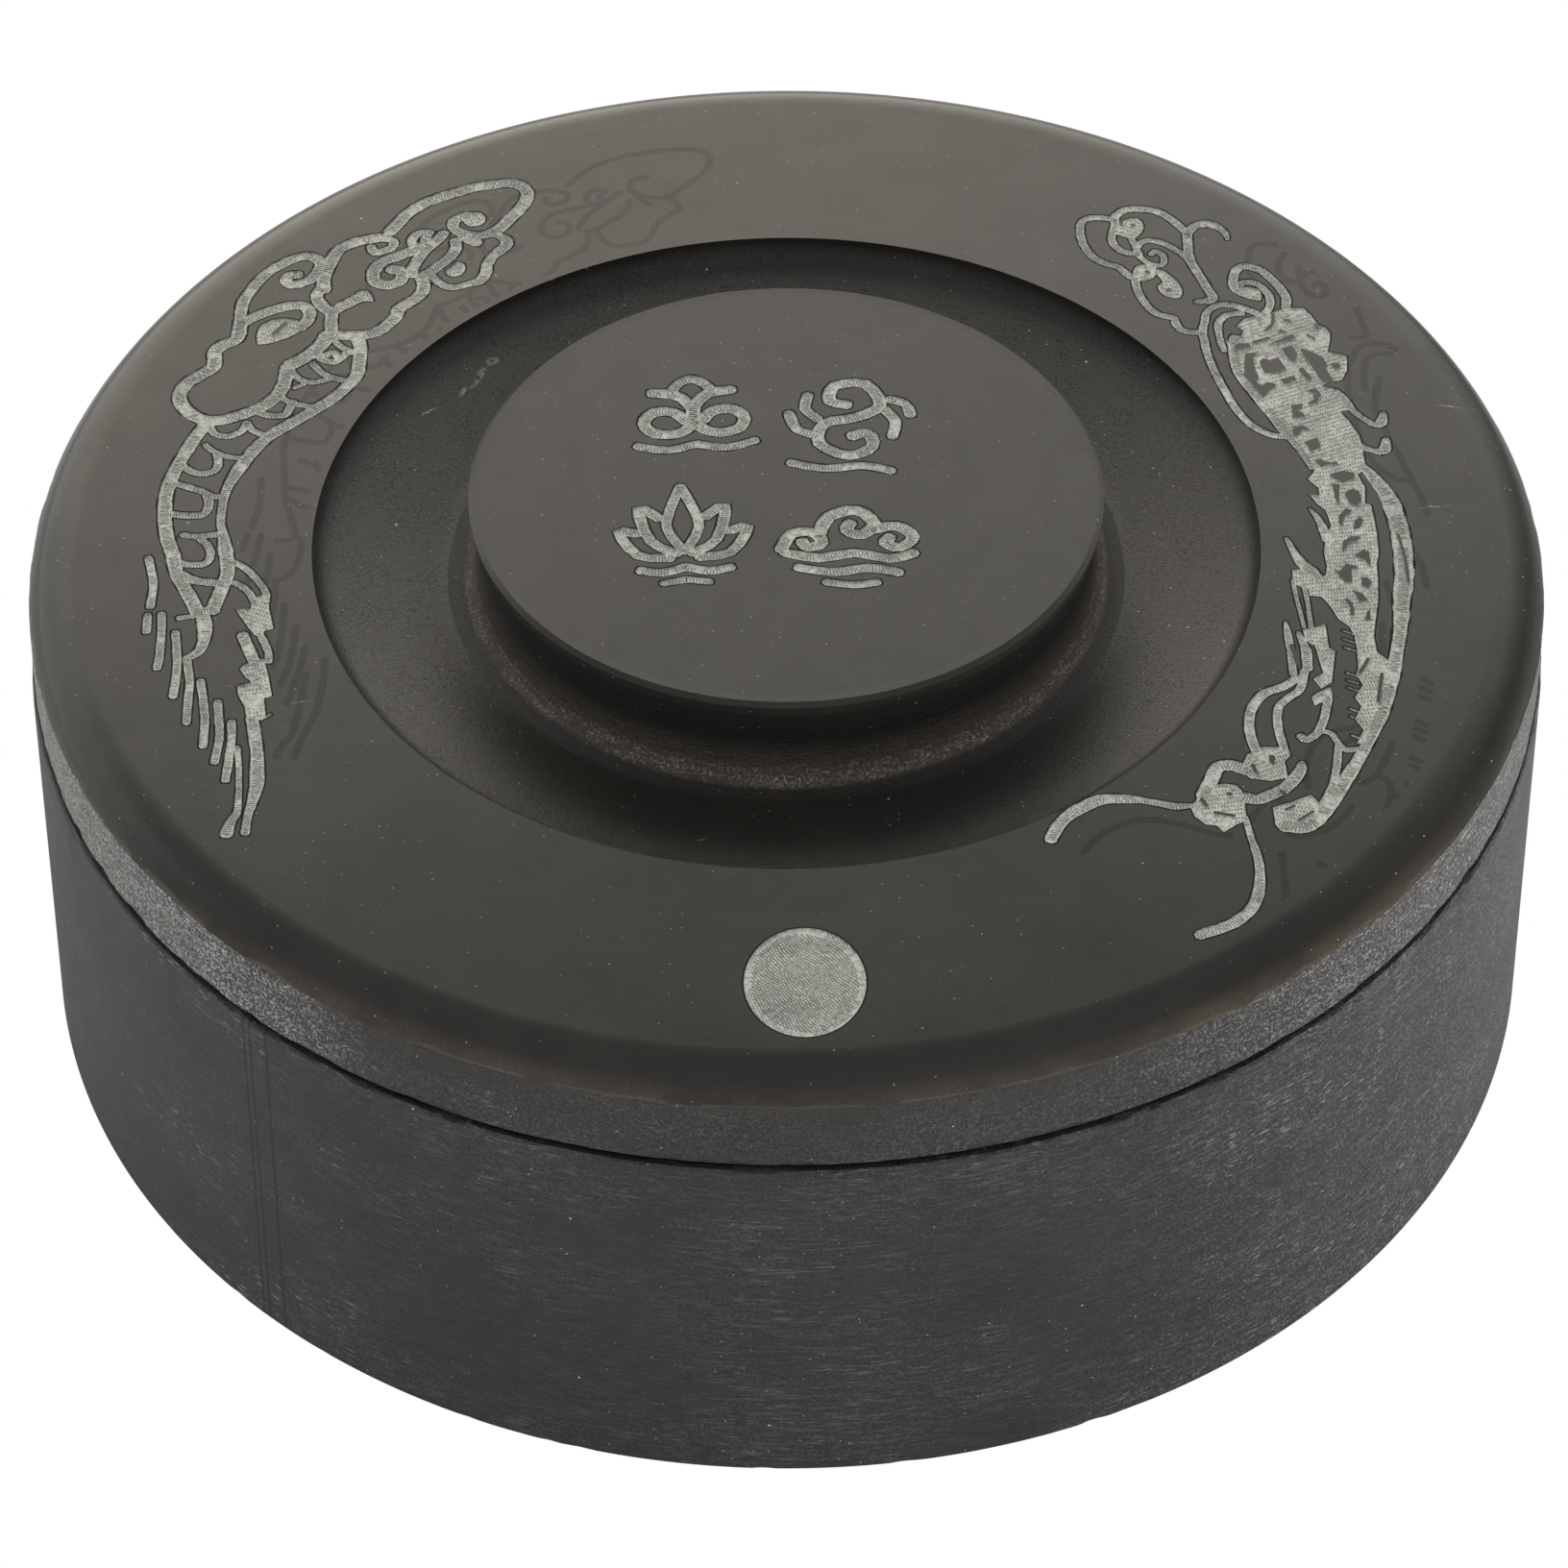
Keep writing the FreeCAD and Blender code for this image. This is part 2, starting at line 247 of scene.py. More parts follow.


# The top of the stone within one rim or between two, with the cuts sunk into it.
# rims lists (ring of shell vertices, radius). shapes lists (kind, outline in millimetres):
# a "cut" is sunk, an "edge" is dark stone beside it as a painted shadow outline, a "ghost" is a
# faint darker copy of the drawing, shifted and turned, and inside an "island" the stone is left
# standing.
def cutSurface(shell, rims, shapes, heightAt, depth):
    points = []
    edges = []
    shellIndex = {}
    for ring, radius in rims:
        base = len(points)
        for k in range(roundSteps):
            shellIndex[base + k] = ring[k]
            points.append(Vector(circlePoint(radius, k)))
            edges.append((base + k, base + (k + 1) % roundSteps))
    faces = []
    kinds = []
    outlines = []
    for kind, outline in shapes:
        area = signedArea([tuple(p) for p in outline])
        if abs(area) < smallestArea:
            continue
        base = len(points)
        points.extend(Vector(p) for p in outline)
        numbers = list(range(base, base + len(outline)))
        faces.append(numbers if area > 0 else numbers[::-1])
        kinds.append(kind)
        outlines.append([tuple(p) for p in outline])
    meshed = delaunay_2d_cdt(points, edges, faces, 0, joinedWithin, True)
    places, _, triangles, originals, _, owners = meshed
    sagitta = math.cos(math.pi / roundSteps)
    outerRadius = rims[0][1] * sagitta
    innerRadius = rims[1][1] * sagitta if len(rims) > 1 else 0.0
    top = {}
    low = {}

    def topVertex(v):
        if v not in top:
            known = [shellIndex[o] for o in originals[v] if o in shellIndex]
            x, y = places[v]
            top[v] = known[0] if known else shell.add(x, y, heightAt(x, y))
        return top[v]

    def lowVertex(v):
        if v not in low:
            x, y = places[v]
            low[v] = shell.add(x, y, heightAt(x, y) - depth)
        return low[v]

    sunkEdges = []
    flatEdges = set()
    for corners, owner in zip(triangles, owners):
        centre = sum((places[c] for c in corners), Vector((0, 0))) / 3
        if centre.length > outerRadius or centre.length < innerRadius:
            continue
        here = {kinds[o] for o in owner if contains(outlines[o], centre)}
        sunk = "cut" in here and "island" not in here
        for k in range(3):
            edge = (corners[k], corners[(k + 1) % 3])
            if sunk:
                sunkEdges.append(edge)
            else:
                flatEdges.add(edge)
        if sunk:
            shell.face([lowVertex(c) for c in corners], cutSlot)
        else:
            onIsland = "island" in here or not here
            # The "edge" faces take the painted shadow outline.
            slot = 0 if onIsland else cutShadowSlot if "edge" in here else ghostSlot
            shell.face([topVertex(c) for c in corners], slot)
    for a, b in sunkEdges:
        if (b, a) in flatEdges:
            shell.face([topVertex(a), topVertex(b), lowVertex(b), lowVertex(a)], cutSlot)


# The engraving, given in millimetres from the centre of the lid. Each entry is a
# stroke (width, points); fills are closed outlines, and islands are stone left standing.

cloudLeft = [
    (0.85, [(-27.4, 32.3), (-26.8, 33.4), (-26.1, 34.5), (-25.2, 35.4), (-24, 36.2), (-22.7, 36.8),
        (-21.5, 37.3), (-20.2, 37.6), (-19, 37.7), (-18.2, 37.2), (-17.9, 36.3), (-18.2, 35.2),
        (-18.8, 34.1), (-19.5, 33), (-20.1, 32.1)]),
    (0.75, [(-21.9, 34.15), (-22.8, 33.7), (-23, 33), (-22.7, 32.4), (-22, 32), (-21.2, 31.85),
        (-20.5, 32), (-20.1, 32.4)]),
    (0.8, [(-22.3, 31.9), (-21.7, 31.3), (-21.2, 31)]),
    (0.55, [(-20.6, 32), (-19.9, 31.85, 0.5), (-19.35, 31.4, 0.8), (-19.2, 30.8, 0.8),
        (-19.7, 30.1, 0.75), (-20.2, 29.4, 0.7), (-20.5, 28.6, 0.7), (-20.6, 27.6, 0.75),
        (-21, 26.8, 0.75), (-21.9, 26.4), (-22.8, 26.1), (-23.6, 26.5), (-24.1, 27.2),
        (-24.5, 27.7)]),
    (0.75, [(-22.8, 31.4), (-22.7, 30.4), (-23.1, 29.5), (-23.8, 28.6), (-24.5, 27.8),
        (-25.2, 27.4)]),
    (0.75, [(-23.6, 32.2), (-24, 31.4), (-24.7, 30.5), (-25.2, 29.5), (-25.6, 28.4),
        (-25.7, 27.5)]),
    (0.6, [(-24.5, 32.2), (-25, 32.3), (-25.6, 31.9), (-25.8, 31.2), (-25.5, 30.6)]),
    (0.6, [(-24.7, 31.9), (-24.9, 31.3), (-24.3, 31)]),
    (0.85, [(-24.3, 31.2), (-25, 30.7), (-26, 30.1), (-27, 29.5), (-27.9, 28.9), (-28.3, 27.9),
        (-28.2, 27), (-27.5, 26.5), (-26.6, 26.8), (-26.3, 27.5), (-26.5, 28.1), (-27.2, 28.2)]),
    (0.62, [(-27.8, 31.7), (-27.1, 31.4), (-27.1, 30.7), (-27.6, 30.3), (-28.3, 30.1),
        (-28.6, 30.8)]),
    (0.85, [(-27.8, 31.8), (-29.1, 31.5), (-30.2, 31), (-30.9, 30.3), (-31.3, 29.1), (-31.6, 27.9),
        (-31.7, 26.8), (-31.6, 26)]),
    (0.8, [(-31.8, 26.3), (-32.1, 25.5), (-31.9, 24.7), (-31.4, 24), (-31, 23.6), (-31, 22.5),
        (-30.9, 21.4)]),
    (0.8, [(-31, 23.7), (-30.4, 24.2), (-29.8, 24.7), (-29.2, 25.2)]),
    (0.85, [(-25, 27.5), (-24.8, 26.4), (-25, 25.4), (-25.8, 24.5), (-26.4, 23.9), (-26.6, 23),
        (-27.2, 22.1), (-27.9, 21.4), (-28.8, 21.1), (-29.9, 21.1), (-30.8, 21.2)]),
    (0.75, [(-37.2, 22.8), (-37.2, 23.9), (-37.1, 25), (-36.6, 26.3), (-36, 27.5), (-35.2, 28.5),
        (-34.3, 29.3), (-33.3, 29.8), (-32.5, 29.7), (-32, 29.1), (-32.1, 28.2), (-32.5, 27.4),
        (-33.1, 26.9), (-33.9, 26.7), (-34.3, 27.2), (-34.1, 27.7), (-33.4, 27.8)]),
    (0.8, [(-37.2, 22.6), (-36.1, 23.4), (-35, 24), (-34, 24.4), (-33, 24.4), (-32.5, 23.7),
        (-32.6, 22.8), (-33.1, 22)]),
    (0.9, [(-37.2, 22.9), (-37.2, 22), (-37.4, 20.9), (-38.3, 20.3), (-38.8, 19.5), (-38.7, 18.6),
        (-38.9, 17.8), (-39.7, 17.1), (-40.5, 16.3), (-40.9, 15.1), (-40.6, 13.9), (-39.8, 12.9),
        (-38.9, 12.4), (-37.9, 12.4), (-36.9, 12.8), (-35.7, 13.4), (-34.8, 14.2), (-34.2, 15.1),
        (-33.9, 16.1), (-33.8, 17), (-33.7, 18)]),
    (1.0, [(-33.7, 18), (-33.1, 18.4), (-32.2, 19.3), (-31.5, 20.3), (-31.2, 21.3)]),
]
cloudLeftFills = [
    [(-35.9, 20.3), (-34.4, 20.7), (-33.3, 21.4), (-32.6, 22.3), (-33.6, 22.95), (-34.6, 23.05),
        (-35.4, 22.7), (-35.9, 22.1)],
    [(-21.5, 34.5), (-20.9, 34.2), (-20.75, 33.5), (-21.1, 33), (-21.7, 32.85), (-22.2, 33.2),
        (-22.3, 33.9)],
    [(-22.55, 29), (-22.1, 28.7), (-22, 28.1), (-22.2, 27.6), (-22.7, 27.3), (-23.2, 27.5),
        (-23.35, 28), (-23, 28.3), (-22.8, 28.7)],
    [(-29.4, 25.7), (-29, 25.95), (-28.5, 25.8), (-28.15, 24.75), (-28.7, 24.8), (-29.3, 24.5),
        (-29.9, 24.1)],
]
cloudLeftIslands = [(0.3, [(-34.9, 21.4), (-34.1, 22.6)])]

bodyLeft = [
    (0.85, [(-29.1, 20.8), (-28.9, 19.8), (-28.9, 18), (-29, 16.9), (-29.5, 15.9), (-30.3, 14.7),
        (-31.5, 13.5), (-32.9, 12.2), (-34.2, 11.1), (-35.2, 9.9), (-35.9, 8.6), (-36.5, 7.3),
        (-37, 6, 0.7), (-37.3, 4.7, 0.55), (-37.4, 3.3, 0.5), (-37.4, 1.9, 0.5), (-37.2, 0.8, 0.6),
        (-37, -0.5), (-36.8, -1.8), (-36.7, -3), (-36.9, -4.1), (-37.2, -5.5), (-37.5, -6.8)]),
    (0.85, [(-38.8, 12.3), (-39.5, 10.9), (-40.1, 9.3), (-40.6, 7.8), (-41, 6.3), (-41.2, 4.7),
        (-41.2, 3.2), (-41.1, 1.8), (-40.8, 0.3), (-40.4, -1.2), (-40.1, -2.8), (-39.5, -4.3),
        (-38.9, -5.7), (-38.4, -7)]),
    (0.45, [(-30.9, 20.9), (-30.1, 19.8), (-29.1, 19.2)]),
    (0.55, [(-31.9, 19.6), (-31.4, 18.6), (-30.6, 18.3), (-30.1, 18.8), (-29.7, 19.3),
        (-29, 19.3)]),
    (0.5, [(-31.2, 19), (-30.7, 19.3), (-30.3, 18.7)]),
    (0.45, [(-32.1, 18.2), (-31.3, 17.1), (-30.6, 16.6), (-29.5, 16.2)]),
    (0.45, [(-33.7, 18), (-33.1, 16.8), (-32.3, 16.2), (-31.3, 16.3), (-30.5, 16.7)]),
    (0.35, [(-32.4, 16.1), (-33.2, 15.6)]),
    (0.45, [(-34.2, 14.9), (-33.5, 14.2), (-32.6, 13.8), (-31.8, 13.6)]),
    (0.55, [(-35.5, 13.2), (-34.8, 12.8), (-33.7, 12.8), (-33.4, 13.5), (-33.2, 14.2)]),
    (0.5, [(-38.7, 11.8), (-38.3, 11), (-37.4, 10.7), (-36.5, 11.2), (-36.2, 12.1)]),
    (0.45, [(-36.2, 12.1), (-35.8, 11.3), (-35, 10.8), (-34.4, 10.9)]),
    (0.4, [(-38.9, 9.9), (-38.2, 9.1), (-37.3, 8.6), (-36.2, 8.4)]),
    (0.5, [(-38.1, 9.1), (-37.9, 8), (-38.1, 7.2), (-38.9, 6.9), (-39.7, 7.2), (-40.3, 7.8)]),
    (0.5, [(-40.7, 6), (-39.8, 5.6), (-38.8, 5.1), (-38.1, 4.6), (-37.3, 4.5)]),
    (0.55, [(-38.5, 4.8), (-38.3, 3.8), (-38.6, 2.8), (-39.6, 2.7), (-40.8, 2.9)]),
    (0.5, [(-39.9, 0.8), (-39, 0.6), (-38, 0.7), (-37.2, 0.8)]),
    (0.5, [(-38.8, 0.5), (-38.1, -0.4), (-37.9, -1.3), (-38.2, -2.1), (-39.1, -2.2), (-40, -2)]),
    (0.6, [(-39.7, -3.1), (-38.9, -3.7), (-38.2, -3.9), (-37, -4.1)]),
    (0.6, [(-38.6, -6.8), (-37.4, -6.5)]),
    (0.4, [(-39.7, -7.4), (-38.7, -7.2)]),
    (0.8, [(-38.1, -7), (-37.9, -8.2, 0.9), (-37.9, -9.7, 0.7), (-38.3, -10.8, 0.6),
        (-39, -11.3, 0.5)]),
]
featherLeft = [
    [(-42, -1.4), (-41.7, -2.8), (-41.5, -4.3), (-41.6, -6.3)],
    [(-41.7, -7), (-41.7, -8.7)],
    [(-40.8, -6.9), (-40.7, -9), (-40.7, -10.8), (-40.8, -12.2)],
    [(-39.8, -8.7), (-39.6, -10.5), (-39.5, -12.5), (-39.6, -14.9)],
    [(-38.9, -11.4), (-38.6, -13.4), (-38.6, -15.4), (-38.6, -17.4)],
    [(-37.9, -13.4), (-37.6, -15.5), (-37.4, -17.5), (-37.4, -19.6)],
    [(-36.7, -15.4), (-36.5, -17.2), (-36.4, -19), (-36.6, -21.1)],
    [(-35.7, -17.3), (-35.6, -19), (-35.7, -21), (-35.8, -22.8)],
]
tailLeft = [(0.5, line) for line in featherLeft] + [
    (0.35, [(-35.2, -19.7), (-35, -21.6), (-34.9, -23.6), (-34.9, -25.6, 0.45), (-35.3, -26.6, 0.6),
        (-35.5, -27.7, 0.75)]),
    (0.45, [(-36.6, -1.9), (-35.8, -2.4), (-35.2, -3.1), (-34.6, -4), (-34.1, -5), (-34, -6)]),
    (0.45, [(-36.3, -4), (-35.7, -4.4), (-35.2, -5), (-34.8, -5.9)]),
    (0.45, [(-34.3, -9), (-33.9, -10), (-33.6, -11), (-33.6, -11.8)]),
    (0.7, [(-35.4, -9.1), (-35.1, -10), (-34.7, -11.1), (-34.4, -11.9)]),
    (0.15, [(-33.8, -17.2), (-33.2, -16.7)]),
    (0.75, [(-34.4, -17), (-34.1, -18.8), (-33.9, -20.4), (-33.8, -22, 0.85), (-33.8, -23.4, 0.8),
        (-34, -24.8, 0.6), (-34.2, -26, 0.5), (-34.3, -27.6, 0.5)]),
]
tailLeftFills = [
    [(-35, -5.6), (-33.9, -5.2), (-33.8, -6.6), (-33.4, -8.6), (-34, -8.8), (-34.1, -9.2),
        (-34.6, -9.2), (-35.2, -8.2), (-36, -6.6), (-35, -6.6)],
    [(-35.2, -12), (-33.9, -11.4), (-33.5, -13.2), (-33.2, -15), (-33.8, -15.2), (-34.4, -13.8),
        (-35, -13.2), (-35.4, -12.4)],
    [(-35.5, -14), (-35, -13.8), (-33.8, -13.2), (-33.7, -15.2), (-33.5, -17), (-34, -17.3),
        (-34.7, -17.3), (-34.9, -16), (-35.4, -14.8)],
]

cloudRight = [
    (0.5, [(22.8, 33.4), (21.8, 33.6), (21, 33.5), (20.5, 33), (20.4, 32), (20.5, 31), (20.8, 30),
        (21.3, 29.1), (22, 28.5), (22.8, 28.2), (23.3, 27.6), (23.8, 27)]),
    (0.55, [(22.7, 33.4), (23.2, 34.2), (23.9, 34.6), (24.8, 34.6), (25.7, 34.4), (26.5, 33.8),
        (27.2, 32.9), (27.8, 32)]),
    (0.5, [(22.9, 33.5), (22.8, 32.6), (22.6, 31.8), (22.6, 30.9), (23, 30.1), (23.6, 29.7),
        (24.5, 29.7)]),
    (0.42, [(23.9, 31.4), (24.1, 30.7), (24.3, 29.9)]),
    (0.6, [(27.8, 31.9), (28.3, 32.7), (29, 33, 0.65), (29.6, 32.9, 0.65), (30.2, 32.4, 0.5),
        (30.5, 31.8, 0.4), (30.55, 31.3, 0.25)]),
    (0.6, [(27.8, 32), (27.8, 30.7), (27.8, 29.5), (28, 28.6), (28.4, 27.4), (28.8, 26.3),
        (29.1, 25.4), (29.3, 24.8), (28.8, 24.5), (28.1, 24.4, 0.4)]),
    (0.45, [(24.3, 30.3), (24.6, 30.9), (25.3, 31.1), (26.1, 30.8), (26.7, 30.3), (27.4, 29.6),
        (27.9, 28.8)]),
    (0.42, [(24.3, 29.6), (24.7, 28.9), (25.3, 28.4), (25.9, 28.4), (26.1, 29.1), (25.9, 29.7),
        (25.5, 29.9), (25.2, 29.5)]),
    (0.5, [(24, 26.9), (24.1, 25.8), (24.4, 24.7), (24.9, 23.6), (25.6, 22.9), (26.5, 22.6),
        (26.6, 22), (27, 21.3), (27.7, 21.1), (28.5, 21.1)]),
    (0.6, [(34.2, 23.8), (34.3, 24.9), (34, 25.8), (33.5, 26.8), (32.8, 27.8), (32.2, 28.2),
        (31.5, 28.3), (31, 27.9), (30.75, 27), (30.8, 26), (31.3, 25.4), (31.9, 25.1),
        (32.4, 24.9)]),
    (0.5, [(31.2, 26.3), (31.5, 26.6), (32.2, 26.5), (32.8, 25.9), (33.15, 25), (33.15, 24.1),
        (32.8, 23.3), (32.3, 22.6)]),
]
cloudRightFills = [
    [(23.5, 33.4), (24.4, 33.6), (24.8, 32.9), (24.7, 32.1), (24.1, 31.3), (23.3, 31.5), (22.8, 32),
        (23.1, 32.8)],
    [(24.2, 28.3), (25.1, 28.4), (25.6, 27.9), (25.3, 27), (24.5, 26.6), (23.9, 26.8),
        (23.9, 27.6)],
    [(25.4, 28), (26.1, 27.7), (26.8, 26.8), (27.2, 25.7), (27, 24.8), (26.2, 24.9), (25.7, 25.4),
        (25.5, 26.1), (25.9, 26.5), (25.6, 27.2)],
    [(31, 25.9), (31.6, 26.1), (32.3, 25.9), (32.6, 25.4), (32.5, 24.8), (31.9, 24.9),
        (31.3, 25.3)],
]
cloudRightIslands = [
    (0.2, [(23.35, 33.3), (23.25, 32.8)]),
    (0.3, [(24.05, 32.9), (24.15, 32.8)]),
    (0.35, [(24.8, 27.6), (25, 27.6)]),
    (0.35, [(26.25, 25.7), (26.35, 25.65)]),
]

bodyRight = [
    (0.5, [(32.2, 23.2), (31.4, 23.7), (30.4, 24.1), (29.5, 24), (28.8, 23.3), (28.6, 22.3),
        (28.4, 21.2), (28.5, 20), (28.6, 18.9), (28.9, 17.4), (29.3, 16), (29.7, 14.7),
        (30.2, 13.2), (31, 11.7), (31.7, 10.9), (32.7, 10.3), (33.6, 10.2)]),
    (0.5, [(31.2, 23.2), (30.5, 23.1), (29.9, 22.8), (29.5, 22), (29.5, 21, 0.42), (29.6, 20, 0.42),
        (29.8, 19.1, 0.35)]),
    (0.8, [(30.6, 20.6), (30.5, 18.7), (30.7, 17), (31.3, 15.5), (31.9, 14.2), (32.7, 12.6),
        (33.3, 11.2), (34, 9.8, 0.6), (34.6, 8.5, 0.5), (35.1, 7, 0.45)]),
    (0.6, [(37, 15), (37.6, 14.2), (38.2, 13, 0.45), (38.9, 12.1, 0.4), (39.5, 11.6, 0.5),
        (40, 11.8, 0.75), (40.2, 12.8, 0.4)]),
    (0.5, [(38.5, 9.3), (39.2, 8.9, 0.45), (39.8, 8.8, 0.6), (40.1, 9.2, 0.75),
        (40.2, 10.1, 0.45)]),
    (0.5, [(38.4, 7.4), (39.1, 6.2, 0.8), (39.8, 4.7, 1.0), (40.2, 3.3, 1.1), (40.4, 2, 1.1),
        (40.55, 0.7, 1.15), (40.6, -0.7, 1.15), (40.6, -2.2, 1.15), (40.55, -3.5, 1.15),
        (40.4, -4.9, 1.1), (40.2, -6.3, 1), (40.1, -7.7, 0.9), (39.9, -9.2, 0.8), (39.6, -11, 0.8),
        (39.2, -13, 0.9), (38.7, -14.9, 1), (38.2, -16.7, 1), (37.6, -18.5, 0.8),
        (36.9, -20.3, 0.7), (36.1, -22, 0.8), (35.3, -23.5, 0.9), (34.5, -25.1, 1),
        (33.8, -26.3, 1), (33, -27.1, 1.1), (32.2, -27.3, 1.1), (31.4, -27.1, 1.1)]),
    (0.2, [(34.7, 2.9), (35.2, 1.9, 0.4), (35.5, 0.8, 0.55), (35.7, -0.2, 0.6)]),
    (0.28, [(33, -0.1), (33.5, -1.7, 0.5), (33.9, -2.6, 0.7), (34.4, -3.1, 0.65),
        (34.9, -3.9, 0.6)]),
    (0.25, [(33.2, -4.2), (33.3, -5.6), (33.5, -7.2), (33.7, -8.8)]),
    (0.28, [(33.9, -4.6), (34.05, -6.5), (34.15, -8.8)]),
    (0.45, [(32.5, -8.3, 0.2), (32.6, -9.5), (32.7, -11), (32.75, -13.3)]),
    (0.6, [(33.3, -9.3, 0.3), (33.7, -11), (33.7, -12.8)]),
    (0.5, [(34.9, -15.4), (34.6, -17), (34.1, -18.6), (33.3, -19.4), (32.9, -19)]),
    (0.4, [(34.1, -18.5), (34.9, -18.8), (35.3, -19.7), (35.8, -20.3), (36.8, -20.1)]),
    (0.45, [(35.3, -19.9), (35.1, -21.7), (34.7, -23.6), (34.1, -25), (33.8, -25.8)]),
    (0.6, [(33, -13.6), (32, -14.5), (30.8, -15.1), (30, -16.3), (29.7, -17.6), (29.7, -19),
        (30, -20.4)]),
    (0.5, [(33.5, -12.9), (33.1, -14.7), (32.2, -15.6), (31.6, -16.5), (31.5, -17.9), (31.6, -19),
        (31.8, -20.2)]),
    (0.85, [(26.4, -24.7), (27, -23.2), (27.5, -22), (28.4, -21.8), (29.2, -22.2), (30, -22.5)]),
    (0.8, [(29, -24.7), (29.9, -24.9), (30.8, -24.4), (31.7, -23.8), (32.6, -22.5),
        (32.9, -21.5, 0.4)]),
    (0.35, [(25.7, -25.5), (24.7, -25.6, 0.55), (23.8, -25.4, 0.5), (22.6, -25.1, 0.5),
        (21.3, -24.95, 0.7), (19.9, -25.05, 0.8), (18.8, -25.7, 0.85), (17.8, -26.5, 0.8),
        (17.1, -27.5, 0.75), (16.6, -28.7, 0.75)]),
    (0.35, [(29, -26.5), (29.3, -28.3, 0.4), (29.6, -29.9, 0.5), (29.7, -31.3, 0.55),
        (29.6, -32.9, 0.65), (29.1, -34.5, 0.7), (28.2, -35.6, 0.75), (27.2, -36.3, 0.75),
        (26.3, -36.7, 0.75), (25.6, -37, 0.7)]),
] + [
    (0.14, [(36.9, y - 0.2), (36.2, y + 0.15)])
    for y in (-9.2, -10, -10.8, -13.2, -13.9, -14.6, -16.6, -17.3, -19.1)
]
bodyRightFills = [
    [(29.9, 20.2), (31, 20.8), (31.2, 21.3), (30.7, 21.8), (31.3, 22.6), (32.2, 23), (32.9, 23.1),
        (33.9, 23.7), (34.6, 23.9), (35.4, 23.9), (35.9, 23.1), (36.3, 22.1), (36.8, 21.8),
        (37.1, 21.2), (37, 20.2), (36.8, 19.2), (38.1, 18.8), (38, 17.2), (37.6, 16.2), (36.8, 16),
        (36.2, 15.6), (37, 15.3), (37.5, 14.3), (38, 13.1), (37.3, 12.9), (37.8, 12), (38.4, 10.5),
        (38.6, 9.4), (38.6, 8.2), (38.7, 7), (38, 6.7), (37, 6.9), (36.1, 6.6), (35.3, 7),
        (34.7, 7.8), (34.2, 9.2), (33.5, 10.5), (32.4, 13), (31.3, 15.5), (30.6, 18)],
    [(35.3, 7), (35, 6.3), (34.7, 5.9), (35.4, 5), (35.4, 4.3), (34.7, 4.4), (35.2, 3.4),
        (35.7, 2.8), (35.9, 2), (36, 1.2), (35.6, 0.3), (35.4, -1.5), (35.5, -2.8), (35.4, -3.6),
        (34.8, -4.2), (34.4, -3), (33.2, -3.2), (33.2, -4.6), (34.2, -5.1), (34.2, -5.7),
        (35, -5.8), (35.4, -6.5), (35.7, -7.2), (36, -8), (36.6, -8.6), (36.9, -9.4), (37, -10.6),
        (37, -12.6), (36.8, -13.2), (37.2, -14.2), (36.6, -15.4), (37, -16.2), (36.5, -17.4),
        (37, -18.4), (36.5, -19.6), (37, -19.9), (37.9, -18), (38.6, -16), (39, -14.4),
        (39.3, -12.8), (39, -11.8), (38.3, -11), (38.2, -9.5), (38.4, -8), (38.7, -6), (38.8, -4),
        (38.8, -2.5), (39, -1.5), (39, 0.6), (38.9, 2.2), (38.8, 3.4), (38.4, 3.5), (38.5, 5.2),
        (38.1, 6.4), (38.6, 7)],
    [(33.6, -9), (34.3, -8.8), (35.1, -8.4), (35.2, -10.7), (35.6, -11), (35.2, -14), (34.5, -14.6),
        (34, -13.7), (34.7, -13.1), (34.3, -10.6), (33.7, -10)],
    [(34.2, -15), (35.1, -14.4), (35.2, -15.3), (34, -16.2), (33.8, -15.4)],
    [(29.4, -20.8), (30.4, -20.1), (32, -20.1), (32.2, -20.8), (31.8, -21.4), (31.9, -22.9),
        (30.8, -23.2), (29.5, -23), (28.9, -22.1)],
    [(25.6, -25.6), (26.3, -24.4), (26.8, -23.8), (27.7, -23.5), (28.6, -23.6), (29, -24.3),
        (29.1, -26.8), (28.4, -27.2), (27.6, -27.9), (27.2, -27.3), (26.5, -27.2), (25.8, -26.5)],
    [(30.9, -27.2), (30.8, -25.6), (32, -25.1), (33.3, -24.4), (33.8, -25.2), (33.4, -26),
        (34, -26.6), (33.3, -27.5), (31.7, -27.7)],
]
